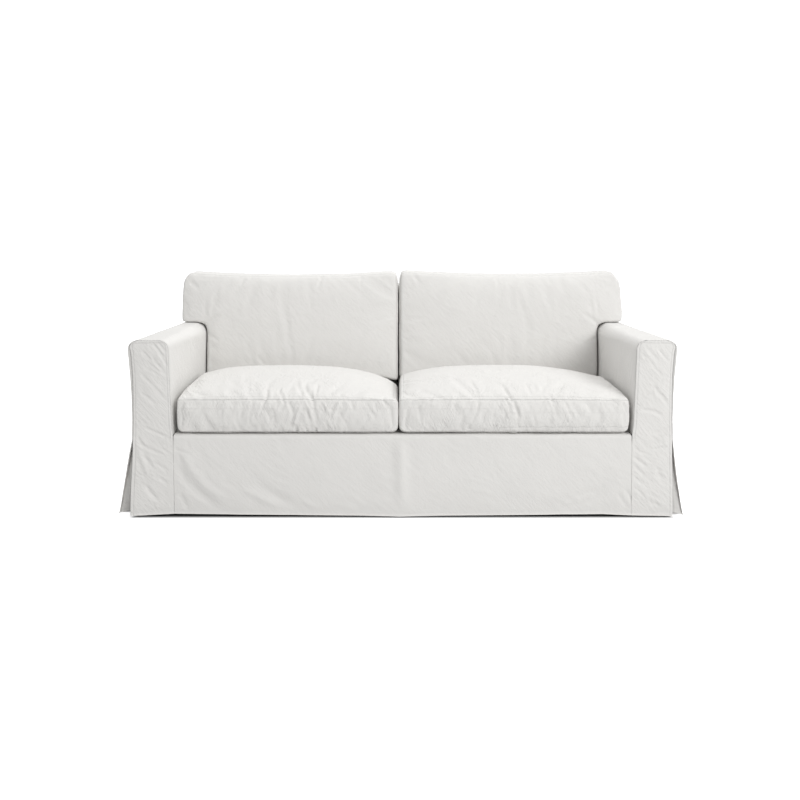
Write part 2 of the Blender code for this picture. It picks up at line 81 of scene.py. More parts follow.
BACK_CORNER_REAR = 0.020
BACK_SIDE_X = 0.990
BACK_SIDE_SEAM_Z = 0.6452
BACK_TOP_SEAM_Z = 0.791
SEAT_FRONT_Y = -0.470
SEAT_REAR_Y = 0.254
SEAT_EDGE_Z = 0.441
SEAT_CROWN_Y = -0.120
SEAT_PRESSED_Z = 0.411
SEAT_PRESSED_Y = 0.060
BACK_FOOT_Z = 0.419
BACK_FOOT_Y = 0.094
BACK_HEAD_Y = 0.194
BACK_CROWN = 0.024
BACK_DIP = 0.018
EAR_BOTTOM_Z = 0.6590
EAR_X = 0.9875

Outline = namedtuple("Outline", "height front_x back_x")
ARM_OUTER = (
    Outline(0.000, 1.0855, 1.0400),
    Outline(0.075, 1.0690, 1.0260),
    Outline(0.150, 1.0505, 1.0120),
    Outline(0.220, 1.0335, 0.9980),
    Outline(0.262, 1.0240, 0.9905),
    Outline(PLEAT_Z, 1.0180, 0.9860),
    Outline(0.370, 1.0160, 0.9860),
    Outline(0.460, 1.0188, 0.9870),
    Outline(0.530, 1.0225, 0.9885),
    Outline(0.620, 1.0300, 0.9900),
)

Hem = namedtuple("Hem", "x forward rise")
FRONT_HEM = (
    Hem(-1.020, 0.003, 0.0015),
    Hem(-0.860, -0.009, 0.0060),
    Hem(-0.550, -0.004, 0.0040),
    Hem(-0.160, 0.001, 0.0020),
    Hem(-0.008, 0.006, 0.0000),
    Hem(0.150, 0.001, 0.0020),
    Hem(0.450, -0.002, 0.0035),
    Hem(0.755, -0.006, 0.0055),
    Hem(0.870, -0.001, 0.0020),
    Hem(1.020, 0.003, 0.0010),
)

Fold = namedtuple("Fold", "from_x from_z to_x to_z half_width relief")
SKIRT_FOLDS = (
    Fold(-0.830, 0.260, -0.600, 0.030, 0.070, 0.0030),
    Fold(-0.560, 0.130, -0.400, 0.020, 0.050, -0.0030),
    Fold(0.560, 0.010, 0.740, 0.080, 0.040, -0.0030),
)

Pinch = namedtuple("Pinch", "points width depth")


def pinch_rows(*rows):
    """Creases from rows of x and z along each in mm, then its width and depth in tenths of a mm."""
    return tuple(Pinch([(x / 1000, z / 1000) for x, z in zip(row[:-2:2], row[1:-2:2])],
                       row[-2] / 10000, row[-1] / 10000) for row in rows)


SKIRT_PINCHES = pinch_rows(
    (-832, 250, -799, 178, -739, 106, -638, 33, 190, -40),
    (-851, 189, -818, 128, -762, 75, -684, 18, 140, 26),
    (-790, 273, -738, 197, -664, 128, -581, 79, 200, 16), (-845, 83, -808, 18, 100, 24),
    (-864, 256, -832, 242, -794, 231, 50, 26), (-813, 284, -800, 254, 50, 20),
    (-843, 235, -827, 197, 60, 20), (-619, 113, -529, 60, -439, 25, 140, -22),
    (-566, 128, -480, 71, -386, 33, 130, 14), (-386, 60, -318, 25, 100, -16),
    (-9, 303, -4, 174, 2, 14, 240, -46), (593, 29, 669, 60, 744, 83, 120, -18),
    (838, 106, 880, 33, 70, 22), (808, 90, 850, 25, 80, 16),
)
ARM_FRONT_PINCHES = {
    "left": pinch_rows(
        (-917, 658, -884, 616, 42, 26), (-936, 654, -877, 582, 45, 28), (-914, 624, -875, 556, 45, 26),
        (-944, 609, -881, 526, 55, 20), (-977, 628, -937, 582, 60, 18), (-986, 545, -927, 485, 70, 20),
        (-983, 469, -916, 417, 70, 20), (-938, 492, -882, 432, 70, 18),
        (-973, 337, -925, 314, -873, 292, 60, 30), (-1000, 303, -971, 258, 70, 30),
        (-1008, 284, -948, 250, -881, 223, 60, 22), (-975, 227, -938, 182, 70, 28),
        (-941, 204, -882, 166, 60, 20), (-972, 121, -950, 83, -920, 56, 90, 40),
        (-997, 265, -975, 197, -953, 144, 100, -24), (-919, 144, -882, 113, 70, 18),
        (-911, 258, -870, 231, 50, 20),
    ),
    "right": pinch_rows(
        (906, 643, 963, 582, 60, 22), (948, 643, 1004, 575, 60, 22), (918, 590, 979, 522, 60, 18),
        (931, 500, 969, 458, 1003, 409, 70, 28), (891, 401, 936, 398, 988, 375, 70, 28),
        (940, 307, 978, 322, 1008, 341, 70, 26), (937, 250, 1001, 261, 60, 20),
        (870, 258, 915, 231, 50, 24), (870, 223, 923, 182, 60, 28), (870, 189, 916, 147, 60, 26),
        (871, 147, 909, 117, 60, 24), (871, 106, 913, 75, 60, 22), (953, 193, 980, 125, 100, 20),
        (917, 60, 978, 29, 80, 16),
    ),
}
SEAT_PINCHES = {
    "left": pinch_rows(
        (-519, 479, -512, 447, -531, 406, 60, 42), (-382, 476, -362, 461, -339, 440, -320, 372, 75, 50),
        (-370, 440, -350, 402, -328, 349, 60, -26), (-474, 469, -453, 444, -440, 417, 55, 30),
        (-430, 441, -414, 402, -406, 365, 70, 40), (-380, 425, -395, 380, -414, 327, 65, -36),
        (-357, 410, -350, 357, 60, 34), (-305, 440, -283, 406, -260, 372, 55, -28),
        (-230, 440, -249, 402, -268, 361, 55, -28), (-249, 433, -271, 395, 55, 30),
        (-515, 406, -504, 383, -493, 353, 60, 28), (-596, 444, -601, 402, -612, 361, 55, 18),
        (-676, 410, -680, 357, 60, 14), (-559, 440, -571, 383, -575, 334, 50, 18),
        (-413, 486, -385, 461, -374, 444, 55, 30), (-453, 472, -465, 450, 50, -22),
        (-326, 480, -327, 456, -324, 425, 50, 30), (-140, 436, -122, 399, -95, 365, 65, 28),
        (-77, 443, -54, 410, 55, 26), (-196, 440, -181, 395, 55, 18), (-648, 496, -592, 467, 60, -14),
        (-290, 365, -279, 327, 50, 22), (-234, 395, -215, 349, 55, 18), (-397, 334, -396, 312, 45, 40),
        (-359, 334, -359, 312, 45, 40), (-325, 334, -325, 312, 45, 40), (-459, 349, -452, 315, 50, 20),
    ),
    "right": pinch_rows(
        (379, 479, 394, 464, 404, 444, 414, 425, 75, 52), (394, 448, 395, 436, 50, -36),
        (389, 444, 399, 417, 50, 34), (416, 440, 425, 410, 437, 365, 65, 42),
        (440, 417, 448, 380, 50, -20), (262, 483, 281, 469, 286, 447, 60, 32),
        (290, 436, 279, 395, 257, 349, 55, 26), (556, 456, 560, 440, 575, 417, 60, 36),
        (477, 481, 482, 467, 488, 447, 55, 24), (517, 484, 525, 459, 55, -20),
        (605, 436, 624, 402, 643, 357, 60, 28), (104, 444, 103, 425, 60, 20),
        (202, 450, 193, 402, 55, 20), (384, 417, 386, 361, 50, 22), (346, 410, 332, 349, 50, 18),
        (313, 402, 294, 349, 50, 16), (489, 387, 500, 338, 55, 20), (687, 433, 710, 387, 55, 16),
        (58, 425, 66, 365, 60, 16), (754, 425, 777, 387, 55, 16), (253, 349, 242, 323, 50, 20),
        (533, 433, 545, 395, 50, -18),
    ),
}
BACK_PINCHES = {
    "left": pinch_rows(
        (-360, 866, -375, 815, 80, 30), (-700, 868, -725, 820, 90, 22), (-180, 868, -190, 825, 80, 20),
        (-955, 845, -905, 800, 100, 24), (-880, 650, -800, 700, 110, 30),
        (-868, 610, -800, 580, 100, 22), (-640, 520, -600, 470, 90, 26),
    ),
    "right": pinch_rows(
        (955, 845, 900, 795, 100, 24), (880, 650, 800, 705, 110, 30), (866, 600, 800, 560, 100, 22),
        (50, 870, 85, 825, 90, 22), (420, 862, 435, 815, 80, 18), (650, 872, 668, 820, 80, 18),
    ),
}

Span = namedtuple("Span", "low_x high_x")
SEAT_SPANS = {"left": Span(-0.8490, -0.0185), "right": Span(-0.0105, 0.8530)}

SeatTop = namedtuple("SeatTop", "share left right")
SEAT_TOPS = (
    SeatTop(0.000, 0.464, 0.457),
    SeatTop(0.045, 0.477, 0.471),
    SeatTop(0.160, 0.4985, 0.4970),
    SeatTop(0.330, 0.5030, 0.5030),
    SeatTop(0.500, 0.5050, 0.5060),
    SeatTop(0.670, 0.4990, 0.5030),
    SeatTop(0.840, 0.4805, 0.4840),
    SeatTop(0.955, 0.4415, 0.4570),
    SeatTop(1.000, 0.4150, 0.4530),
)

BackCushion = namedtuple("BackCushion", "inner_x body_x top_z drawn_in inner_drop")
BACK_CUSHIONS = {
    "left": BackCushion(0.0185, 0.8650, 0.880, 0.018, 0.018),
    "right": BackCushion(-0.0130, 0.8650, 0.884, 0.030, 0.004),
}
SIDES = {"left": -1.0, "right": 1.0}
CAGE_LEVELS = 2              # subdivisions of a cushion before it is filled with air; one more follows
AIR_PRESSURE = 1.2
SPARE_CLOTH = 0.035          # share by which a cushion's cloth is larger than its block
WIDE = 0.030                 # swellings wider than this come from the block alone
HALF_BOXING = 0.067          # half the height of a seat cushion's boxing, laid flat
FLAT_DEPTH = 0.14            # depth of a back cushion's sides, laid flat
BOXING_SEAM = 0.018          # from the bottom edge of a seat cushion up to its lower seam
WELT_BACK = 0.004            # from a back cushion's front edge to its seam, and further round its end
WELT_BACK_END = 0.012
WELT_BACK_REAR = 0.119       # and from there to the seam ridge along the rear of its top, which carries a band of painted shade


# ---------------------------------------------------------------- sums

def mix(start, end, share):
    return start + (end - start) * share


def ease(start, end, value):
    """0 before start and 1 after end, with a smooth rise between."""
    share = np.clip((value - start) / (end - start), 0.0, 1.0)
    return share * share * (3.0 - 2.0 * share)


def read_table(table, at, column):
    return np.interp(at, [row[0] for row in table], [getattr(row, column) for row in table])


def lattice_turn(i, j, seed):
    """A repeatable angle for each corner of the noise's grid."""
    mixed = (i * 374761393 + j * 668265263 + seed * 974634777) & 0xFFFFFFFF
    mixed = ((mixed ^ (mixed >> 13)) * 1274126177) & 0xFFFFFFFF
    return (mixed ^ (mixed >> 16)) / 0xFFFFFFFF * math.tau


def noise(u, v, seed):
    """Smooth noise from -1 to 1 with features about one unit across."""
    i, j = np.floor(u).astype(np.int64), np.floor(v).astype(np.int64)
    fu, fv = u - i, v - j
    su, sv = [f * f * f * (f * (f * 6.0 - 15.0) + 10.0) for f in (fu, fv)]

    def corner(di, dj):
        turn = lattice_turn(i + di, j + dj, seed)
        return np.cos(turn) * (fu - di) + np.sin(turn) * (fv - dj)

    low, high = mix(corner(0, 0), corner(1, 0), su), mix(corner(0, 1), corner(1, 1), su)
    return 1.4 * mix(low, high, sv)


def creases(u, v, angle, length, width, seed):
    """Patches of ridges that long and wide, at an angle in degrees from u, from 0 to 1."""
    turn = math.radians(angle)
    along = u * math.cos(turn) + v * math.sin(turn)
    across = v * math.cos(turn) - u * math.sin(turn)
    across = across + 0.5 * width * noise(along / length, across / length, seed + 1)
    ridge = np.clip(1.0 - 2.4 * np.abs(noise(along / length, across / width, seed)), 0.0, 1.0)
    return ridge * ridge * ease(-0.25, 0.45, noise(u / 0.11, v / 0.11, seed + 2))


def fold_relief(fold, x, z):
    """How far one fold stands out at a point, fading over its width and towards its ends."""
    along_x, along_z = fold.to_x - fold.from_x, fold.to_z - fold.from_z
    length = math.hypot(along_x, along_z)
    share = ((x - fold.from_x) * along_x + (z - fold.from_z) * along_z) / length ** 2
    across = np.abs((x - fold.from_x) * along_z - (z - fold.from_z) * along_x) / length
    ends = ease(-0.10, 0.30, share) * (1.0 - ease(0.80, 1.25, share))
    return fold.relief * ends * (1.0 - ease(0.0, fold.half_width, across))


def pinch_relief(pinches, x, z):
    """Creases along bent lines: a narrow valley between two low shoulders, fading at its ends."""
    total = np.zeros(np.shape(x))
    for pinch in pinches:
        nearest = np.full(np.shape(x), 9.0)
        share = np.zeros(np.shape(x))
        legs = list(zip(pinch.points, pinch.points[1:]))
        for index, ((from_x, from_z), (to_x, to_z)) in enumerate(legs):
            along_x, along_z = to_x - from_x, to_z - from_z
            at = ((x - from_x) * along_x + (z - from_z) * along_z) / (along_x ** 2 + along_z ** 2)
            at = np.clip(at, 0.0, 1.0)
            away = np.hypot(x - from_x - at * along_x, z - from_z - at * along_z)
            closer = away < nearest
            nearest = np.where(closer, away, nearest)
            share = np.where(closer, (index + at) / len(legs), share)
        ends = ease(-0.02, 0.25, share) * (1.0 - ease(0.70, 1.02, share))
        shoulders = 0.40 * np.exp(-(nearest / (2.4 * pinch.width)) ** 2)
        valley = np.exp(-(nearest / pinch.width) ** 2) - shoulders
        total -= pinch.depth * ends * valley
    return total


# ---------------------------------------------------------------- the cover's faces

def depth_share(y):
    return (y - FRONT_Y) / (BACK_Y - FRONT_Y)


def arm_top_z(y):
    return mix(ARM_FRONT_Z, ARM_BACK_Z, depth_share(y))


def arm_outer_x(y, z, drawn_in=0.0):
    """Outer face of an arm. Below the slits it flares, and its back edge curls in."""
    fall = 1.0 - ease(0.0, PLEAT_Z, z)
    front = read_table(ARM_OUTER, z, "front_x") - drawn_in * np.sqrt(fall)
    back = read_table(ARM_OUTER, z, "back_x")
    curl = 0.018 * (1.0 - ease(0.0, 0.070, BACK_Y - y))
    wave = 0.004 * np.sin(math.tau * (depth_share(y) * 2.5 + 0.1)) * ease(0.03, 0.12, y - FRONT_Y)
    return mix(front, back, depth_share(y)) - fall * (curl + wave * ease(0.03, 0.12, BACK_Y - y))


def arm_inner_x(y, z):
    upright = mix(ARM_INNER_FRONT_X, ARM_INNER_BACK_X, depth_share(y))
    drawn_in = mix(0.0105, 0.0, depth_share(y))
    return upright - drawn_in * np.clip((ARM_STRAIGHT_Z - z) / (ARM_STRAIGHT_Z - DECK_Z), 0.0, 1.0)


def inside_back_y(z):
    return INSIDE_BACK_Y + INSIDE_BACK_LEAN * (z - DECK_Z)


def front_y(x, z):
    """Face of the arm fronts and the front skirt, which share one hem line."""
    fall = np.where(z < DECK_Z, 1.0 - ease(0.0, DECK_Z, z), 0.0)
    relief = sum(fold_relief(fold, x, z) for fold in SKIRT_FOLDS)
    relief = relief * (1.0 - ease(0.255, 0.290, z))
    return FRONT_Y - fall * read_table(FRONT_HEM, x, "forward") - relief


def back_y(x, z):
    fall = 1.0 - ease(0.0, PLEAT_Z + 0.03, z)
    wave = 0.5 + 0.5 * np.cos(math.tau * (x / 0.66 + 0.5))
    return BACK_Y + fall * mix(HALF_DEPTH - BACK_Y - 0.009, HALF_DEPTH - BACK_Y, wave)


def arm_front_wrap(z):
    """How far the outer panel turns round onto the arm front."""
    return 0.0035 + 0.0075 * ease(0.34, 0.60, z) * (1.0 - ease(0.615, ARM_FRONT_Z - 0.010, z))


def arm_inner_corner(y):
    return mix(ARM_CORNER, ARM_CORNER_BACK, ease(-0.30, 0.10, y))


def back_side_x(z):
    seam_x = ARM_OUTER[-1].back_x - ARM_CORNER * (1.0 - math.cos(ARM_SEAM_ANGLE))
    return mix(seam_x, BACK_SIDE_X, ease(BACK_SIDE_SEAM_Z, 0.680, z))


def outside_back_edge(z):
    """Side edge of the outside back: slit, arm, rounded arm top, then the side of the back."""
    corner_z = ARM_BACK_Z - ARM_CORNER
    slit = mix(0.990, read_table(ARM_OUTER, PLEAT_Z, "back_x"), ease(0.0, PLEAT_Z, z))
    arm = read_table(ARM_OUTER, z, "back_x")
    over = np.clip(z - corner_z, 0.0, ARM_CORNER)
    rounding = np.sqrt(ARM_CORNER ** 2 - over ** 2)
    corner = read_table(ARM_OUTER, corner_z, "back_x") - ARM_CORNER + rounding
    lower = np.where(z < PLEAT_Z, slit, np.where(z <= corner_z, arm, corner))
    return np.where(z <= BACK_SIDE_SEAM_Z, lower, back_side_x(z))


# ---------------------------------------------------------------- sheets

# How far the cloth turns in at an edge (where it turns out, below zero, the colour gets a painted
# highlight), where its topstitching runs, and whether it has a seam line, which is darkened with painted
# shade
Edge = namedtuple("Edge", "dip stitch line")
SEWN = Edge(0.0016, 0.010, True)
PLAIN = Edge(0.0016, None, True)
HEM = Edge(-0.0030, None, False)
SLIT = Edge(-0.0008, 0.012, False)
HIDDEN = Edge(0.0, None, False)
HEM_DROP = 0.0018            # how far the fine hem hangs below the solid's, nearer to the floor
OUTER_HEM_FRONT = -0.0055    # height of an outer arm's hem at its front slit, and further back
OUTER_HEM = 0.0007
TURNED_SHARE = 0.012         # share of an outer panel's columns that turn round onto the arm front
NO_LINE = 0.05               # distance that stands for no seam or stitching near

Crumple = namedtuple("Crumple", "angle length width height seed")


def steps(length, pitch, low=0.0, near=(0.0, 0.0015, 0.0035, 0.0065, 0.010, 0.0135)):
    """Places along a panel, closer together at its two edges, where the seams are."""
    inner = np.linspace(near[-1], length - near[-1], max(2, round((length - 2 * near[-1]) / pitch)))
    ends = np.array(near[:-1])
    return low + np.concatenate([ends, inner, length - ends[::-1]])


def panel_relief(s, t, to_edges, crumples, broad, seed, sharp):
    """Hand's breadth swells, slanting creases, and puckers that die away from the sewn edges."""
    sizes = bpy.context.scene.slipcover_sizes
    free = np.ones_like(s)
    puckers = np.zeros_like(s)
    dips = np.zeros_like(s)
    for index, (edge, distance, run) in enumerate(to_edges):
        if edge is HIDDEN:
            continue
        free = free * ease(-0.002, 0.030, distance)
        depth = edge.dip * (sharp if edge.line else 1.0)
        dips -= depth * np.exp(-(distance / (0.0024 if edge.line else 0.0040)) ** 2)
        if edge.stitch:
            gather = noise(run / 0.013, distance / 0.035, seed + 11 + index)
            gather *= ease(-0.5, 0.5, noise(run / 0.09, distance / 0.2, seed + 31 + index))
            puckers += gather * ease(0.0, 0.006, distance) * np.exp(-(distance / 0.026) ** 1.5)
            dips -= 0.0004 * np.exp(-((distance - edge.stitch) / 0.0020) ** 2)
    swells = noise(s / 0.16, t / 0.13, seed) + 0.5 * noise(s / 0.07, t / 0.06, seed + 1)
    relief = broad * free * swells
    for crumple in crumples:
        ridge = creases(s, t, crumple.angle, crumple.length, crumple.width, seed + crumple.seed)
        relief += crumple.height * (0.25 + 0.75 * free) * ridge
    return sizes.wrinkles * (relief + sizes.pucker * puckers) + dips


def lengths(points):
    """How far along a row of points each one lies."""
    return np.concatenate([[0.0], np.cumsum(np.linalg.norm(np.diff(points, axis=0), axis=1))])


def nearest_edge(to_edges, wanted):
    return np.minimum.reduce([distance if wanted(edge) else np.full_like(distance, NO_LINE)
                              for edge, distance, _ in to_edges])


def lay_sheet(name, node, place, across, along, facing, edges, crumples=(), broad=0.0009, seed=0,
              pinches=(), keep=None, faint_below=-1.0,
              finish="cotton_cover", fold_shade_at=None):
    """A panel on a fine grid: place(s, t) lays it out, with s across it and t up it in metres."""
    sizes = bpy.context.scene.slipcover_sizes
    s, t = np.meshgrid(across, along)
    points = place(s, t)
    width, height = lengths(points[len(along) // 2]), lengths(points[:, len(across) // 2])
    flat_s, flat_t = np.meshgrid(width, height)
    way = -1.0 if np.gradient(points[..., 0], axis=1).mean() < -1e-6 else 1.0
    normal = np.cross(np.gradient(points, axis=1), np.gradient(points, axis=0))
    normal /= np.maximum(np.linalg.norm(normal, axis=2, keepdims=True), 1e-9)
    turned = (normal.mean(axis=(0, 1)) @ np.array(facing, float)) < 0.0
    if turned:
        normal = -normal
    to_edges = [(edges[0], flat_s, flat_t), (edges[1], width[-1] - flat_s, flat_t),
                (edges[2], flat_t, flat_s), (edges[3], height[-1] - flat_t, flat_s)]
    sharp = ease(faint_below - 0.02, faint_below + 0.02, points[..., 2])
    relief = panel_relief(way * flat_s, flat_t, to_edges, crumples, broad, seed, 0.12 + 0.88 * sharp)
    relief = relief + 1.6 * sizes.wrinkles * pinch_relief(pinches, points[..., 0], points[..., 2])
    points = points + normal * relief[..., None]

    bm = bmesh.new()
    bmesh.ops.create_grid(bm, x_segments=len(across) - 1, y_segments=len(along) - 1, size=0.5)
    mesh = bpy.data.meshes.new(name)
    if turned:
        bmesh.ops.reverse_faces(bm, faces=bm.faces)
    bm.to_mesh(mesh)
    bm.free()
    grid = np.empty(len(mesh.vertices) * 3)
    mesh.vertices.foreach_get("co", grid)
    grid = grid.reshape(-1, 3)
    column = np.rint((grid[:, 0] + 0.5) * (len(across) - 1)).astype(int)
    row = np.rint((grid[:, 1] + 0.5) * (len(along) - 1)).astype(int)
    mesh.vertices.foreach_set("co", points[row, column].reshape(-1))
    add_cloth_map(mesh, np.stack([way * flat_s[row, column], flat_t[row, column]], axis=1))
    stitch, run = stitch_rows(to_edges)
    stitch = np.where((sharp < 0.5) & (flat_s < 0.5 * width[-1]), NO_LINE, stitch)
    add_value(mesh, "stitch", stitch[row, column])
    add_value(mesh, "run", run[row, column])
    # Seam attribute: distance to the nearest seam line, where the material paints shade over a dark joint
    # line. Below zero it is the distance to a turned-out hem or slit edge, where it paints a highlight.
    # Below faint_below the painted seam shade is narrower, and along a pleat's fold it carries painted
    # shade.
    seam = nearest_edge(to_edges, lambda edge: edge.line)
    fold = nearest_edge(to_edges, lambda edge: edge.dip < 0.0)
    seam = seam * (6.0 - 5.0 * sharp)
    if fold_shade_at is not None:
        seam = np.minimum(seam, 0.6 * np.abs(flat_s - np.interp(fold_shade_at, across, width)))
    add_value(mesh, "seam", np.where(fold < seam, -fold - 1e-5, seam)[row, column])
    piece = new_piece(name, mesh)
    if keep is not None:
        cut_away(piece, keep)
    wall = piece.modifiers.new("thickness", "SOLIDIFY")
    wall.thickness, wall.offset, wall.use_even_offset = sizes.cloth, -1.0, False
    apply_modifiers(piece)
    finish_piece(piece, node, finish)


def new_piece(name, mesh):
    piece = bpy.data.objects.new(name, mesh)
    bpy.data.collections["slipcover"].objects.link(piece)
    return piece


def stitch_rows(to_edges):
    """Signed distance to the nearest row of topstitching, and the place along it."""
    nearest = np.full_like(to_edges[0][1], NO_LINE)
    run = np.zeros_like(nearest)
    for edge, distance, along in to_edges:
        if edge.stitch:
            offset = distance - edge.stitch
            closer = np.abs(offset) < np.abs(nearest)
            nearest = np.where(closer, offset, nearest)
            run = np.where(closer, along, run)
    return nearest, run


def add_cloth_map(mesh, flat):
    """The cloth's own coordinates in metres, one pair for each vertex."""
    corners = np.empty(len(mesh.loops), dtype=np.int32)
    mesh.loops.foreach_get("vertex_index", corners)
    layer = mesh.uv_layers.new(name="cloth")
    layer.data.foreach_set("uv", flat[corners].astype(np.float32).reshape(-1))


def add_value(mesh, name, values):
    mesh.attributes.new(name, "FLOAT", "POINT").data.foreach_set("value", values.astype(np.float32))


def cut_away(piece, keep):
    bm = bmesh.new()
    bm.from_mesh(piece.data)
    gone = [face for face in bm.faces if not keep(face.calc_center_median())]
    bmesh.ops.delete(bm, geom=gone, context="FACES")
    bm.to_mesh(piece.data)
    bm.free()


def apply_modifiers(piece):
    bpy.ops.object.select_all(action="DESELECT")
    piece.select_set(True)
    bpy.context.view_layer.objects.active = piece
    for modifier in list(piece.modifiers):
        bpy.ops.object.modifier_apply(modifier=modifier.name)


def finish_piece(piece, node, finish):
    piece.data.shade_smooth()
    piece.data.materials.clear()
    piece.data.materials.append(bpy.data.materials[finish])
    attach(piece, "root")
    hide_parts(node)


def shares(length, pitch):
    return steps(length, pitch) / length


def stack(x, y, z):
    return np.stack(np.broadcast_arrays(x, y, z), axis=-1).astype(float)


# ---------------------------------------------------------------- skirt and deck

SKIRT_CRUMPLES = (Crumple(-52.0, 0.065, 0.012, 0.0005, 3), Crumple(-35.0, 0.16, 0.030, 0.0012, 7))


def lay_front_skirt():
    rail_z = DECK_Z - RAIL_RADIUS
    quarter = RAIL_RADIUS * math.pi / 2.0
    flat = DECK_SEAM_Y - (FRONT_Y + RAIL_RADIUS)

    def place(s, t):
        rise = (read_table(FRONT_HEM, s, "rise") - HEM_DROP) * (1.0 - ease(0.0, PLEAT_Z, t))
        turn = np.clip((t - rail_z) / RAIL_RADIUS, 0.0, math.pi / 2.0)
        over = np.clip(t - rail_z - quarter, 0.0, None)
        y = front_y(s, np.minimum(t, rail_z)) + RAIL_RADIUS * (1.0 - np.cos(turn)) + over
        z = np.minimum(t, rail_z) + RAIL_RADIUS * np.sin(turn) + rise
        return stack(s, y, z)

    lay_sheet("cover_front_skirt", "front_skirt", place, steps(2 * SKIRT_SEAM_X, 0.0058, -SKIRT_SEAM_X),
              steps(rail_z + quarter + flat, 0.0055), (0, -1, 0), (PLAIN, PLAIN, HEM, HIDDEN),
              SKIRT_CRUMPLES, 0.0010, 100, pinches=SKIRT_PINCHES, faint_below=0.270,
              finish="cotton_smooth")


def lay_deck():
    def place(s, t):
        return stack(s * (arm_inner_x(t, DECK_Z) - SEAM), t, DECK_Z)

    lay_sheet("cover_seat_deck", "seat_deck", place, np.linspace(-1.0, 1.0, 90),
              np.linspace(DECK_SEAM_Y + SEAM, INSIDE_BACK_Y + 0.008, 40), (0, 0, 1), (HIDDEN,) * 4,
              (), 0.0, 110)


# ---------------------------------------------------------------- arms

ARM_CENTRE_Z = ARM_FRONT_Z - ARM_CORNER
ARM_CRUMPLES = (Crumple(-48.0, 0.050, 0.010, 0.0024, 3), Crumple(-25.0, 0.07, 0.014, 0.0014, 6))
SIDE_CRUMPLES = (Crumple(-50.0, 0.10, 0.018, 0.0010, 3), Crumple(70.0, 0.20, 0.030, 0.0010, 6))


def arm_front_ends(t, hem_x):
    """Inner and outer ends of the arm front's rows, as x and z, t metres up its edge."""
    z = np.minimum(t, ARM_CENTRE_Z)
    turn = np.clip((t - ARM_CENTRE_Z) / ARM_CORNER, 0.0, math.pi / 2.0)
    row_z = z + ARM_CORNER * np.sin(turn)
    wrapped = arm_front_wrap(row_z) + SEAM
    inner = mix(SKIRT_SEAM_X + SEAM, arm_inner_x(FRONT_Y, z), ease(DECK_Z, 0.345, z))
    inner_x = inner + ARM_CORNER * (1.0 - np.cos(turn))
    outer = arm_outer_x(FRONT_Y, np.maximum(z, PLEAT_Z)) - wrapped
    outer = np.where(z < PLEAT_Z, mix(hem_x, outer, ease(0.0, PLEAT_Z, z)), outer)
    radius = ARM_CORNER - wrapped * (1.0 - ease(ARM_SEAM_ANGLE, ARM_SEAM_ANGLE + 0.10, turn))
    corner_x = arm_outer_x(FRONT_Y, ARM_CENTRE_Z) - ARM_CORNER + radius * np.cos(turn)
    outer_x = np.where(turn > 0.0, corner_x, outer)
    outer_z = np.where(turn > 0.0, ARM_CENTRE_Z + radius * np.sin(turn), z)
    return inner_x, row_z, outer_x, outer_z


def lay_arm_front(side, sign):
    def place(s, t):
        inner_x, inner_z, outer_x, outer_z = arm_front_ends(t, PLEAT_HEM_X[side])
        x, z = sign * mix(inner_x, outer_x, s), mix(inner_z, outer_z, s)
        rise = (read_table(FRONT_HEM, x, "rise") - HEM_DROP) * (1.0 - ease(0.0, PLEAT_Z, z))
        puff = 0.003 * (1.0 - (2.0 * s - 1.0) ** 2) * ease(0.30, 0.45, z)
        puff = puff * (1.0 - ease(0.60, ARM_FRONT_Z, z))
        return stack(x, front_y(x, z) - puff, z + rise)

    across = shares(0.150, 0.0040)
    along = steps(ARM_CENTRE_Z + ARM_CORNER * math.pi / 2.0, 0.0042)
    lay_sheet(f"cover_arm_front_{side}", f"arm_front_{side}", place, across, along, (0, -1, 0),
              (SEWN, SEWN, HEM, SEWN), ARM_CRUMPLES, 0.0010, 200 + int(sign),
              pinches=ARM_FRONT_PINCHES[side], faint_below=0.290)


def arm_section(y, t):
    """Section of the arm's inner panel, t metres up from the deck and over its top, as x and z."""
    top, corner = arm_top_z(y), arm_inner_corner(y)
    inner, outer = arm_inner_x(y, top), arm_outer_x(y, top)
    straight, quarter = top - corner - (DECK_Z - 0.004), corner * math.pi / 2.0
    across = outer - ARM_CORNER - (inner + corner)
    low_z = np.minimum(DECK_Z - 0.004 + t, top - corner)
    first = np.clip((t - straight) / corner, 0.0, math.pi / 2.0)
    over = np.clip(t - straight - quarter, 0.0, across)
    last = np.clip((t - straight - quarter - across) / ARM_CORNER, 0.0, None)
    x = np.where(first > 0.0, inner + corner * (1.0 - np.cos(first)), arm_inner_x(y, low_z))
    x = x + over + ARM_CORNER * np.sin(last)
    z = low_z + corner * np.sin(first) - ARM_CORNER * (1.0 - np.cos(last))
    return x, z, straight + quarter + across


def lay_inner_arm(side, sign):
    """From the deck up the inner face and over the top of the arm."""
    start = FRONT_Y + 0.0030
    seam_turn = (math.pi / 2.0 - ARM_SEAM_ANGLE) - math.radians(1.6)

    def place(s, t):
        rough_z = mix(DECK_Z, ARM_BACK_Z, np.clip(t * 1.45, 0.0, 1.0))
        past = mix(0.012, -0.0015, ease(0.60, 0.75, t))
        y = mix(start, inside_back_y(rough_z) + past, s)
        length = arm_section(y, 0.0)[2] + ARM_CORNER * seam_turn
        x, z, _ = arm_section(y, t * length)
        return stack(sign * x, y, z)

    lay_sheet(f"cover_inner_arm_{side}", f"inner_arm_{side}", place, shares(0.790, 0.0070),
              shares(0.510, 0.0068), (-0.7 * sign, 0, 1), (SEWN, HIDDEN, HIDDEN, PLAIN), SIDE_CRUMPLES,
              0.0012, 300 + int(sign), finish="cotton_smooth")


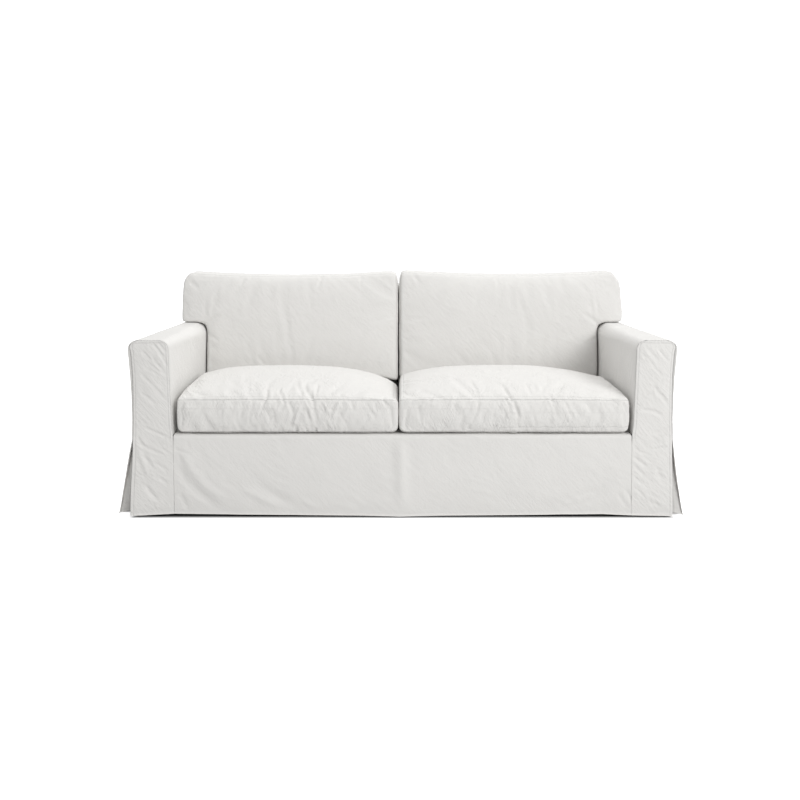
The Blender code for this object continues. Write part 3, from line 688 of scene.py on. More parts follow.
def lay_outer_arm(side, sign):
    """The outer panel, turned a little onto the arm front, down to its flared hem."""
    end = BACK_Y - 0.0030
    total = ARM_CENTRE_Z + ARM_CORNER * ARM_SEAM_ANGLE

    def place(s, t):
        base_z = np.minimum(t, ARM_CENTRE_Z)
        turn = np.clip((t - ARM_CENTRE_Z) / ARM_CORNER, 0.0, ARM_SEAM_ANGLE)
        wrap = arm_front_wrap(base_z + ARM_CORNER * np.sin(turn))
        bend = np.minimum(0.7 * wrap, 0.0045)
        level = (wrap - bend) / (wrap - bend + bend * math.pi / 2.0)
        share = np.clip(s / TURNED_SHARE, 0.0, 1.0)
        round_front = np.clip((share - level) / (1.0 - level), 0.0, 1.0) * math.pi / 2.0
        y = np.where(s < TURNED_SHARE, FRONT_Y + bend * (1.0 - np.cos(round_front)),
                     mix(FRONT_Y + bend, end, (s - TURNED_SHARE) / (1.0 - TURNED_SHARE)))
        y = y + SLIT_SET_BACK[side] * (1.0 - ease(0.0, PLEAT_Z, base_z)) * (end - y) / (end - FRONT_Y)
        inset = (wrap - bend) * (1.0 - np.minimum(1.0, share / level))
        inset = np.where(s < TURNED_SHARE, inset + bend * (1.0 - np.sin(round_front)), 0.0)
        lowered = arm_top_z(y) - ARM_FRONT_Z
        radius = ARM_CORNER - inset
        corner_x = arm_outer_x(y, ARM_CENTRE_Z + lowered) - ARM_CORNER
        x = np.where(turn > 0.0, corner_x + radius * np.cos(turn),
                     arm_outer_x(y, base_z, SLIT_DRAWN_IN[side]) - inset)
        z = np.where(turn > 0.0, ARM_CENTRE_Z + lowered + radius * np.sin(turn),
                     base_z + lowered * ease(PLEAT_Z, ARM_CENTRE_Z, base_z))
        rise = mix(OUTER_HEM_FRONT, OUTER_HEM, ease(0.0, 0.35, s)) * (1.0 - ease(0.0, PLEAT_Z, z))
        return stack(sign * x, y, z + rise)

    near = np.linspace(0.0, TURNED_SHARE, 12)
    past = TURNED_SHARE + (1.0 - TURNED_SHARE) * np.linspace(0.0, 1.0, 132)
    across = np.concatenate([near[:-1], past])
    lay_sheet(f"cover_outer_arm_{side}", f"outer_arm_{side}", place, across, steps(total, 0.0070),
              (sign, 0, 0), (SEWN, SLIT, HEM, SEWN), SIDE_CRUMPLES, 0.0016, 400 + int(sign),
              faint_below=PLEAT_Z, finish="cotton_smooth")


# ---------------------------------------------------------------- back

def back_profile(t):
    """Inside of the back, over its top and down to the rear seam, as y and z, t metres up."""
    lean = math.atan(INSIDE_BACK_LEAN)
    front_z, rear_z = BACK_Z - BACK_CORNER_FRONT, BACK_Z - BACK_CORNER_REAR
    rise = (front_z - DECK_Z) / math.cos(lean)
    front_y_centre = inside_back_y(front_z) + BACK_CORNER_FRONT
    first_end = (math.pi / 2.0 + lean) * BACK_CORNER_FRONT
    flat = (BACK_Y - BACK_CORNER_REAR) - front_y_centre
    z = DECK_Z + np.minimum(t, rise) * math.cos(lean)
    turn = np.clip((t - rise) / BACK_CORNER_FRONT, 0.0, math.pi / 2.0)
    over = np.clip(t - rise - first_end, 0.0, flat)
    down = np.clip((t - rise - first_end - flat) / BACK_CORNER_REAR, 0.0, math.pi / 2.0)
    fall = np.clip(t - rise - first_end - flat - BACK_CORNER_REAR * math.pi / 2.0, 0.0, None)
    y = np.where(turn > 0.0, front_y_centre - BACK_CORNER_FRONT * np.cos(turn), inside_back_y(z))
    y = y + over + BACK_CORNER_REAR * np.sin(down)
    z = z + BACK_CORNER_FRONT * np.sin(turn) - BACK_CORNER_REAR * (1.0 - np.cos(down)) - fall
    total = rise + first_end + flat + BACK_CORNER_REAR * math.pi / 2.0 + (rear_z - BACK_TOP_SEAM_Z)
    return y, z, total


def lay_inside_back():
    """A T of cloth: between the arms below, over them above, and across the top."""
    inner = ARM_INNER_BACK_X - 0.0012
    total = back_profile(np.zeros(1))[2]

    def place(s, t):
        y, z, _ = back_profile(t)
        return stack(s * back_side_x(z), y, z)

    def keep(centre):
        return abs(centre.x) < inner or centre.z > BACK_SIDE_SEAM_Z

    lay_sheet("cover_inside_back", "inside_back", place, np.linspace(-1.0, 1.0, 170),
              np.linspace(0.0, total, 76), (0, -1, 0.4), (PLAIN, PLAIN, HIDDEN, PLAIN), SIDE_CRUMPLES,
              0.0010, 500, keep=keep)


def lay_back_side(side, sign):
    """Closes the end of the back above the arm."""
    def place(s, t):
        z = mix(BACK_SIDE_SEAM_Z, BACK_Z - 0.0035, t)
        front_z, rear_z = BACK_Z - BACK_CORNER_FRONT, BACK_Z - BACK_CORNER_REAR
        front_over = np.clip(z - front_z, 0.0, BACK_CORNER_FRONT - 0.004)
        rear_over = np.clip(z - rear_z, 0.0, BACK_CORNER_REAR - 0.004)
        front = inside_back_y(np.minimum(z, front_z)) + BACK_CORNER_FRONT + 0.0035
        front = front - np.sqrt(BACK_CORNER_FRONT ** 2 - front_over ** 2)
        rear = BACK_Y - BACK_CORNER_REAR - 0.0035 + np.sqrt(BACK_CORNER_REAR ** 2 - rear_over ** 2)
        return stack(sign * back_side_x(z), mix(front, rear, s), z)

    lay_sheet(f"cover_back_side_{side}", f"back_side_{side}", place, np.linspace(0.0, 1.0, 22),
              np.linspace(0.0, 1.0, 28), (sign, 0, 0), (PLAIN, PLAIN, HIDDEN, PLAIN), (), 0.0006, 520)


def lay_outside_back():
    def place(s, t):
        x = s * outside_back_edge(t)
        rise = 0.0020 * (1.0 - ease(0.0, PLEAT_Z, t))
        return stack(x, back_y(x, t), t + rise)

    lay_sheet("cover_outside_back", "outside_back", place, 2.0 * shares(1.98, 0.0130) - 1.0,
              steps(BACK_TOP_SEAM_Z - SEAM, 0.0120), (0, 1, 0), (SEWN, SEWN, HEM, SEWN), SIDE_CRUMPLES,
              0.0018, 540)


# ---------------------------------------------------------------- corner pleats

PLEAT_BEHIND = 0.0038        # front strip behind the outer panel's edge at the hem, and inside its face
PLEAT_CLEAR = 0.0041
PLEAT_SLOPE = 0.31           # how far its fold stands out from the arm front, for each metre set back
PLEAT_FOLD = 3.0             # the station where it is folded, of the six across it, and where shade is painted along the fold


def lay_corner_pleat(end, side, sign):
    """The strip behind a corner slit, held inside both panels and spread at the hem."""
    in_front = end == "front"
    turn = -1.0 if in_front else 1.0
    drawn_in = SLIT_DRAWN_IN[side] if in_front else 0.0

    def station_line(station, z):
        loose = 1.0 - ease(0.0, PLEAT_Z, z)
        if in_front:
            edge = arm_front_ends(np.minimum(z, PLEAT_Z), PLEAT_HEM_X[side])[2]
        else:
            edge = outside_back_edge(np.minimum(z, PLEAT_Z - 1e-6))
        inside = 0.0031 + 0.005 * loose
        if station < 3:
            x = edge - (0.060, 0.032, 0.012)[station]
            panel_y = front_y(sign * x, z) if in_front else back_y(sign * x, z)
            return x, panel_y - turn * (inside + (0.0, 0.0, 0.0015)[station])
        if in_front:
            joined = SLIT_SET_BACK[side] + PLEAT_BEHIND
            inward = (mix(0.011, joined + 0.006, loose), mix(0.024, joined, loose),
                      mix(0.050, joined + 0.026, loose))
            clear = PLEAT_CLEAR
        else:
            inward = (0.011, 0.030, 0.055)
            clear = inside + 0.0012 + 0.004 * loose
        y = (FRONT_Y if in_front else BACK_Y) - turn * inward[station - 3] + 0.0 * z
        side_x = arm_outer_x(y, z, drawn_in) - clear
        spread = 0.002 + PLEAT_SLOPE * SLIT_SET_BACK[side] if in_front else 0.004
        x = (edge + mix(-0.004, spread, loose), side_x, side_x)[station - 3]
        return np.minimum(x, side_x), y

    def place(s, t):
        lines = [station_line(station, t) for station in range(6)]
        xs, ys = [np.stack([line[i] for line in lines]) for i in (0, 1)]
        low = np.clip(np.floor(s).astype(int), 0, 4)
        share = s - low
        x, y = [mix(np.take_along_axis(values, low[None], 0)[0],
                    np.take_along_axis(values, (low + 1)[None], 0)[0], share)
                for values in (xs, ys)]
        return stack(sign * x, y, t)

    # A front pleat gets a line of painted shade along its fold, beside the arm front's edge.
    lay_sheet(f"cover_pleat_{end}_{side}", f"corner_pleat_{end}_{side}", place,
              np.linspace(0.0, 5.0, 31), np.linspace(-0.0025 if in_front else 0.004, PLEAT_Z + 0.012, 50),
              (sign, turn, 0), (HIDDEN, HIDDEN, HEM, HIDDEN), (), 0.0008, 560,
              fold_shade_at=PLEAT_FOLD if in_front else None)


# ---------------------------------------------------------------- cushions

def cage(low, high, cuts):
    """A block cut across at each named place, ready to be shaped."""
    bm = bmesh.new()
    bmesh.ops.create_cube(bm, size=1.0)
    for vert in bm.verts:
        vert.co = [mix(low[i], high[i], vert.co[i] + 0.5) for i in range(3)]
    for axis, places in enumerate(cuts):
        normal = Vector([float(i == axis) for i in range(3)])
        for place in places:
            geometry = bm.verts[:] + bm.edges[:] + bm.faces[:]
            bmesh.ops.bisect_plane(bm, geom=geometry, plane_co=normal * place, plane_no=normal)
    return bm


def lengthen(bm, end, x):
    """Draws the end faces of a cage out to x and returns the new end faces."""
    grown = bmesh.ops.extrude_face_region(bm, geom=end)["geom"]
    bmesh.ops.delete(bm, geom=end, context="FACES")
    for vert in [item for item in grown if isinstance(item, bmesh.types.BMVert)]:
        vert.co.x = x
    return [item for item in grown if isinstance(item, bmesh.types.BMFace)]


def seat_top_z(side, share, y):
    spread = 0.06 * min(1.0, 8.0 * share, 8.0 * (1.0 - share))
    tops = [float(read_table(SEAT_TOPS, share + shift * spread, side)) for shift in (-1.0, 0.0, 1.0)]
    top = 0.25 * tops[0] + 0.5 * tops[1] + 0.25 * tops[2]
    rise = min(1.0, max(0.0, (y - SEAT_FRONT_Y) / (SEAT_CROWN_Y - SEAT_FRONT_Y))) ** 0.8
    crown = mix(SEAT_EDGE_Z, top, 1.0 - (1.0 - rise) ** 2.2)
    pressed = min(SEAT_PRESSED_Z, top - 0.046)
    return mix(crown, pressed, ease(-0.05, SEAT_PRESSED_Y, y))


def seat_cage(side):
    low_x, high_x = SEAT_SPANS[side]
    bands = [low_x + 0.016, *np.linspace(low_x + 0.038, high_x - 0.038, 20), high_x - 0.016]
    rows = [SEAT_FRONT_Y + 0.026, *np.linspace(-0.404, -0.036, 10), 0.012,
            *np.linspace(SEAT_PRESSED_Y, 0.218, 4)]
    levels = [-0.78, -0.16, 0.50]
    bm = cage((low_x, SEAT_FRONT_Y, -1.0), (high_x, SEAT_REAR_Y, 1.0), (bands, rows, levels))
    flat = {}
    for vert in bm.verts:
        x, y, level = vert.co
        share = (x - low_x) / (high_x - low_x)
        across = 2.0 * share - 1.0
        along = 2.0 * (y - SEAT_FRONT_Y) / (SEAT_REAR_Y - SEAT_FRONT_Y) - 1.0
        on_end, on_front = abs(across) > 0.999, abs(along) > 0.999
        low_z = DECK_Z + SEAM + (0.008 if on_end or on_front else 0.0)
        z = mix(low_z, float(seat_top_z(side, share, y)), 0.5 * (level + 1.0))
        flat[vert] = (x, y, HALF_BOXING * level)
        bulge = 1.0 - level ** 2
        if on_front:
            y += along * (0.016 * bulge - 0.003) * (1.0 - across ** 4)
        if on_end:
            towards_pair = 0.0018 * across if abs(x) < 0.1 else 0.0
            x += across * 0.003 * (bulge - 1.0 + along ** 2) + towards_pair
        if on_end and on_front and level < -0.9:
            x, z = x - across * 0.010, z + 0.010
        vert.co = (x, y, z)
    return bm, flat, ((low_x, SEAT_FRONT_Y, -HALF_BOXING), (high_x, SEAT_REAR_Y, HALF_BOXING))


def back_cage(side, sign):
    size = BACK_CUSHIONS[side]
    bands = [*np.linspace(size.inner_x + 0.035, size.body_x - 0.055, 20), size.body_x - 0.018]
    rows = [*np.linspace(BACK_FOOT_Z + 0.030, EAR_BOTTOM_Z - 0.040, 5), EAR_BOTTOM_Z,
            EAR_BOTTOM_Z + 0.018, *np.linspace(EAR_BOTTOM_Z + 0.055, size.top_z - 0.042, 4)]
    bm = cage((size.inner_x, 0.0, BACK_FOOT_Z), (size.body_x, 1.0, size.top_z),
              (bands, [0.2, 0.5, 0.8], rows))
    end = [face for face in bm.faces
           if face.normal.x > 0.9 and face.calc_center_median().z > EAR_BOTTOM_Z]
    for x in (*np.linspace(size.body_x + 0.034, EAR_X - 0.030, 3), EAR_X):
        end = lengthen(bm, end, x)
    flat = {}
    for vert in bm.verts:
        x, depth, z = vert.co
        flat[vert] = (x, FLAT_DEPTH * depth, z)
        across = 2.0 * (x - size.inner_x) / (EAR_X - size.inner_x) - 1.0
        up = (z - BACK_FOOT_Z) / (size.top_z - BACK_FOOT_Z)
        swell = (1.0 - across ** 4) * (1.0 - (2.0 * up - 1.0) ** 4)
        front = mix(BACK_FOOT_Y, BACK_HEAD_Y, up) - BACK_CROWN * swell
        rear = inside_back_y(z) - SEAM - 0.004 * (1.0 - min(1.0, 8.0 * swell))
        if abs(x - size.body_x) + abs(z - EAR_BOTTOM_Z) < 1e-5:
            x, z = x + 0.009, z - 0.010
        if x > EAR_X - 1e-5 and z < EAR_BOTTOM_Z + 1e-5:
            x, z = x - 0.006, z + 0.002
        if z < 0.49:
            z -= size.inner_drop * (1.0 - float(ease(-1.0, -0.85, across)))
        if up > 0.999:
            z -= BACK_DIP * (1.0 - across ** 2)
            if across > 0.999:
                x, z = x - size.drawn_in, z - 0.016
            elif across < -0.999:
                x, z = x + 0.007, z - 0.006
        if x > size.body_x:
            x -= 0.5 * (size.drawn_in - 0.018) * float(ease(0.70, 0.86, z))
        vert.co = (sign * x, mix(front, rear, depth), z)
    if sign < 0.0:
        bmesh.ops.reverse_faces(bm, faces=bm.faces)
    return bm, flat


def fill_cushion(name, bm, flat, way=1.0):
    """Rounds a cage into a cushion that keeps its flat coordinates as a vertex attribute and a map."""
    bm.verts.index_update()
    places = [flat[vert] for vert in bm.verts]
    layer = bm.verts.layers.float_vector.new("flat")
    uv = bm.loops.layers.uv.new("cloth")
    for vert in bm.verts:
        vert[layer] = places[vert.index]
    for face in bm.faces:
        spread = np.ptp([places[loop.vert.index] for loop in face.loops], axis=0)
        keep = [axis for axis in range(3) if axis != int(np.argmin(spread))]
        for loop in face.loops:
            loop[uv].uv = [places[loop.vert.index][axis] * (way if axis == 0 else 1.0) for axis in keep]
    mesh = bpy.data.meshes.new(name)
    bm.to_mesh(mesh)
    bm.free()
    piece = new_piece(name, mesh)
    smooth(piece, CAGE_LEVELS)
    return piece


def smooth(piece, levels):
    rounded = piece.modifiers.new("filling", "SUBSURF")
    rounded.levels = rounded.render_levels = levels
    rounded.uv_smooth = "NONE"
    apply_modifiers(piece)


def read_vectors(rows, what):
    values = np.empty(len(rows) * 3, dtype=np.float32)
    rows.foreach_get(what, values)
    return values.reshape(-1, 3).astype(float)


def read_points(piece, what="co"):
    return read_vectors(piece.data.vertices, what)


def write_points(piece, points):
    piece.data.vertices.foreach_set("co", points.astype(np.float32).reshape(-1))
    piece.data.update()


def read_flat(piece):
    return read_vectors(piece.data.attributes["flat"].data, "vector")


def seat_panels(flat, block):
    """Signed distances from the top and bottom seams of a boxed cushion, and the place along them."""
    (low_x, low_y, low_z), (high_x, high_y, high_z) = block
    x, y, z = flat.T
    inside = np.minimum.reduce([x - low_x, high_x - x, y - low_y, high_y - y])
    top = np.where(z > high_z - 1e-5, inside, z - high_z)
    bottom = np.where(z < low_z + 1e-5, -inside, z - low_z)
    return top, bottom, np.where(np.minimum(y - low_y, high_y - y) < 1e-4, x, y)


def spread_out(piece, points, values):
    """The values smoothed over about WIDE metres of the surface."""
    ends = np.empty(len(piece.data.edges) * 2, dtype=np.int32)
    piece.data.edges.foreach_get("vertices", ends)
    first, second = ends.reshape(-1, 2).T
    weight = 1.0 / np.maximum(np.sum((points[first] - points[second]) ** 2, axis=1), 6e-6)
    count = len(points)
    most = (np.bincount(first, weight, count) + np.bincount(second, weight, count)).max()
    spread = values.copy()
    for _ in range(int(WIDE ** 2 * most / 0.8)):
        flow = (spread[second] - spread[first]) * weight[:, None] * (0.4 / most)
        for axis in range(3):
            gained = np.bincount(first, flow[:, axis], count)
            spread[:, axis] += gained - np.bincount(second, flow[:, axis], count)
    return spread


def blow_up(piece, sewn, free, reach):
    """Fills a cushion with air while its seams hold, and keeps the creases that this makes.

    The wide swelling is taken out, since the block already has it. No point moves further than reach.
    """
    start = read_points(piece)
    group = piece.vertex_groups.new(name="sewn")
    group.add([int(index) for index in np.nonzero(sewn)[0]], 1.0, "REPLACE")
    air = piece.modifiers.new("air", "CLOTH")
    cloth = air.settings
    cloth.quality, cloth.mass, cloth.air_damping = 5, 0.15, 1.0
    cloth.tension_stiffness = cloth.compression_stiffness = 15.0
    cloth.shear_stiffness, cloth.bending_stiffness = 5.0, 0.08
    cloth.use_pressure, cloth.uniform_pressure_force = True, AIR_PRESSURE
    cloth.shrink_min = cloth.shrink_max = -SPARE_CLOTH
    cloth.effector_weights.gravity = 0.0
    cloth.vertex_group_mass = "sewn"
    air.collision_settings.use_collision = air.collision_settings.use_self_collision = False
    for number in range(1, 21):
        bpy.context.scene.frame_set(number)
    apply_modifiers(piece)
    bpy.context.scene.frame_set(1)
    piece.vertex_groups.clear()
    moved = read_points(piece) - start
    wide = spread_out(piece, start, moved)
    detail = (moved - wide) * (bpy.context.scene.slipcover_sizes.wrinkles * free)[:, None]
    length = np.linalg.norm(detail, axis=1, keepdims=True)
    detail *= np.tanh(length / reach) * reach / np.maximum(length, 1e-9)
    write_points(piece, start + detail)


def seam_and_shade_values(mesh, seams, stitches, run):
    # The seam attribute darkens the colour near zero: seam lines, and painted shade along whatever
    # shadowed edges a caller passes in.
    add_value(mesh, "seam", np.minimum.reduce([np.abs(seam) for seam in seams]))
    nearest = stitches[0]
    for other in stitches[1:]:
        nearest = np.where(np.abs(other) < np.abs(nearest), other, nearest)
    add_value(mesh, "stitch", nearest)
    add_value(mesh, "run", run)


def gathers(distance, run, pitch, height, seed):
    """Puckers on both sides of a cushion's seam, in patches along it."""
    patches = ease(-0.4, 0.5, noise(run / 0.10, 0.0 * run, seed + 12))
    gather = noise(run / pitch, distance / 0.05, seed + 11) * patches
    away = np.abs(distance)
    return height * gather * np.exp(-(away / 0.03) ** 1.5) * ease(0.0, 0.005, away)


def make_seat_cushion(side):
    bm, flat, block = seat_cage(side)
    piece = fill_cushion(f"cushion_seat_{side}", bm, flat)
    (low_x, low_y, _), (high_x, _, _) = block
    flat = read_flat(piece)
    top, bottom, _ = seat_panels(flat, block)
    y = flat[:, 1]
    free = ease(-0.001, 0.004, top) * (1.0 - ease(-0.24, -0.15, y))
    on_front = (y < low_y + 0.004) & (top < 0.0)
    to_end = np.minimum(flat[:, 0] - low_x, high_x - flat[:, 0])
    free = np.maximum(free, on_front * 1.0) * ease(0.0, 0.03, to_end)
    blow_up(piece, (np.abs(top) < 1e-4) | (bottom < 1e-4) | (y > SEAT_PRESSED_Y), free, 0.005)
    smooth(piece, 1)
    points, normals, flat = read_points(piece), read_points(piece, "normal"), read_flat(piece)
    top, bottom, run = seat_panels(flat, block)
    sizes = bpy.context.scene.slipcover_sizes
    x, y, z = points.T
    seed = 600 if side == "left" else 640
    on_top = ease(0.0, 0.004, top)
    relief = 0.0010 * noise(x / 0.14, y / 0.12 + z / 0.10, seed)
    fan = ease(-0.10, 0.10, x - 0.5 * (low_x + high_x))
    middle = np.exp(-((x - 0.5 * (low_x + high_x)) / 0.22) ** 2) * (1.0 - ease(-0.36, -0.22, y))
    fine = 0.0009 + 0.0020 * middle
    for share, angle, shift in ((1.3 - fan, 64.0, 3), (0.3 + fan, 116.0, 7)):
        ridge = creases(x, y + z, angle, 0.07, 0.011, seed + shift)
        relief += fine * share * ridge * (1.0 - 0.4 * on_top)
    relief += gathers(top, run, 0.014, 0.0015, seed)
    relief += 2.0 * pinch_relief(SEAT_PINCHES[side], x, z) * (1.0 - ease(-0.26, -0.18, y))
    relief *= sizes.wrinkles
    boxing = bottom - BOXING_SEAM
    faint = 1.0 + 2.5 * (1.0 - ease(0.0, 0.07, np.minimum(x - low_x, high_x - x)))
    shown = ease(0.30, 0.42, x)
    for seam, depth in ((top * faint, 0.0022), (boxing, 0.0009 * shown)):
        relief -= depth * np.exp(-(seam / 0.0034) ** 2)
    relief -= 0.0005 * np.exp(-((top - 0.013) / 0.0030) ** 2)
    write_points(piece, points + normals * relief[:, None])
    rows = (top - 0.013, np.where(shown > 0.5, boxing, NO_LINE))
    # The bottom edge counts as a wider seam line: a band of painted shade where the cushion meets the
    # deck.
    seam_and_shade_values(piece.data, (top * faint, 0.6 * bottom), rows, run)
    finish_piece(piece, f"seat_cushion_{side}", "cotton_seat_cushion")


def back_panel(flat, size):
    """Signed distance in from the seam round a back cushion's front panel, and the place along it."""
    x, depth, z = flat.T
    outer = np.where(z < EAR_BOTTOM_Z + 1e-5, size.body_x - x, EAR_X - x)
    notch = np.where(x > size.body_x, z - EAR_BOTTOM_Z, 1.0)
    corner = np.where((x < size.body_x) & (z > EAR_BOTTOM_Z),
                      np.hypot(size.body_x - x, z - EAR_BOTTOM_Z), 1.0)
    outer = np.where(z < EAR_BOTTOM_Z + 1e-5, outer, np.minimum(outer, corner))
    inside = np.minimum.reduce([x - size.inner_x, outer, z - BACK_FOOT_Z, size.top_z - z, notch])
    run = np.where(np.minimum(z - BACK_FOOT_Z, size.top_z - z) < 0.02, x, z)
    return np.where(depth < 1e-5, inside, -depth), run


def make_back_cushion(side, sign):
    bm, flat = back_cage(side, sign)
    piece = fill_cushion(f"cushion_back_{side}", bm, flat, sign)
    size = BACK_CUSHIONS[side]
    flat = read_flat(piece)
    front, _ = back_panel(flat, size)
    from_end = flat[:, 0] - size.inner_x
    free = ease(-0.001, 0.004, front) * ease(0.455, 0.50, flat[:, 2]) * ease(0.01, 0.03, from_end)
    blow_up(piece, (np.abs(front) < 1e-4) | (front < -0.05), 0.5 * free, 0.0020)
    smooth(piece, 1)
    points, normals, flat = read_points(piece), read_points(piece, "normal"), read_flat(piece)
    front, run = back_panel(flat, size)
    x, _, z = points.T
    sizes = bpy.context.scene.slipcover_sizes
    seed = 700 if side == "left" else 740
    relief = 0.0014 * noise(x / 0.15, z / 0.13, seed) + 0.0007 * noise(x / 0.06, z / 0.05, seed + 1)
    relief += 0.0010 * creases(x, z, -40.0, 0.07, 0.012, seed + 3)
    relief += 0.0006 * creases(x, z, 35.0, 0.07, 0.012, seed + 6)
    relief += gathers(front, run, 0.015, 0.0012, seed)
    relief += 1.5 * pinch_relief(BACK_PINCHES[side], x, z) * ease(0.0, 0.004, front)
    relief *= sizes.wrinkles
    on_top = ease(size.top_z - 0.015, size.top_z - 0.002, flat[:, 2])
    on_end = ease(EAR_X - 0.012, EAR_X - 0.002, flat[:, 0])
    edge = np.maximum(on_top, on_end)
    # The seam round the front panel is darkened in the material and widened at the ends, as painted shade
    # along the outline. A wider band of painted shade runs along the ridge at the rear of the top.
    welt = front + mix(WELT_BACK, WELT_BACK_END, edge)
    rear = np.where(on_top > 0.5, front + WELT_BACK_REAR, NO_LINE)
    seam = 0.0020 * np.exp(-(welt / (0.0034 + 0.0026 * on_end)) ** 2)
    relief -= seam - 0.0020 * np.exp(-(rear / 0.006) ** 2)
    write_points(piece, points + normals * relief[:, None])
    seam_and_shade_values(piece.data, (welt * (1.0 - 0.5 * on_end), 0.4 * rear), (welt - 0.009,), run)
    finish_piece(piece, f"back_cushion_{side}", "cotton_back_cushion")


# ---------------------------------------------------------------- finishes

def node(tree, kind, place, **settings):
    made = tree.nodes.new(kind)
    made.location = place
    for name, value in settings.items():
        setattr(made, name, value)
    return made


def maths(tree, operation, place, *values, clamp=False):
    """A Math node. A value is a number or a socket to link from."""
    made = node(tree, "ShaderNodeMath", place, operation=operation, use_clamp=clamp)
    for socket, value in zip(made.inputs, values):
        if isinstance(value, (int, float)):
            socket.default_value = value
        else:
            tree.links.new(value, socket)
    return made.outputs[0]


def set_inputs(made, values):
    for name, value in values.items():
        made.inputs[name].default_value = value


def grey(tree, place, value):
    """A colour with its three parts linked to one value."""
    made = node(tree, "ShaderNodeCombineColor", place)
    for socket in made.inputs[:3]:
        tree.links.new(value, socket)
    return made.outputs[0]


# Seam: distance to a seam line or shadowed edge, where shade is painted; below zero, distance to a turned
# edge, where a highlight is painted.
WEAVE_INPUTS = (
    ("Cloth", "Vector", None), ("Stitch", "Float", NO_LINE), ("Run", "Float", 0.0),
    ("Seam", "Float", NO_LINE), ("Tone", "Color", (0.8, 0.79, 0.775, 1.0)),
    ("Thread pitch", "Float", 0.0011), ("Crease", "Float", 1.0), ("Crush", "Float", 0.0022),
    ("Slant", "Float", -0.84), ("Counter slant", "Float", 0.70), ("Counter share", "Float", 0.3),
)
WEAVE_OUTPUTS = (("Color", "Color", None), ("Roughness", "Float", None), ("Normal", "Vector", None))


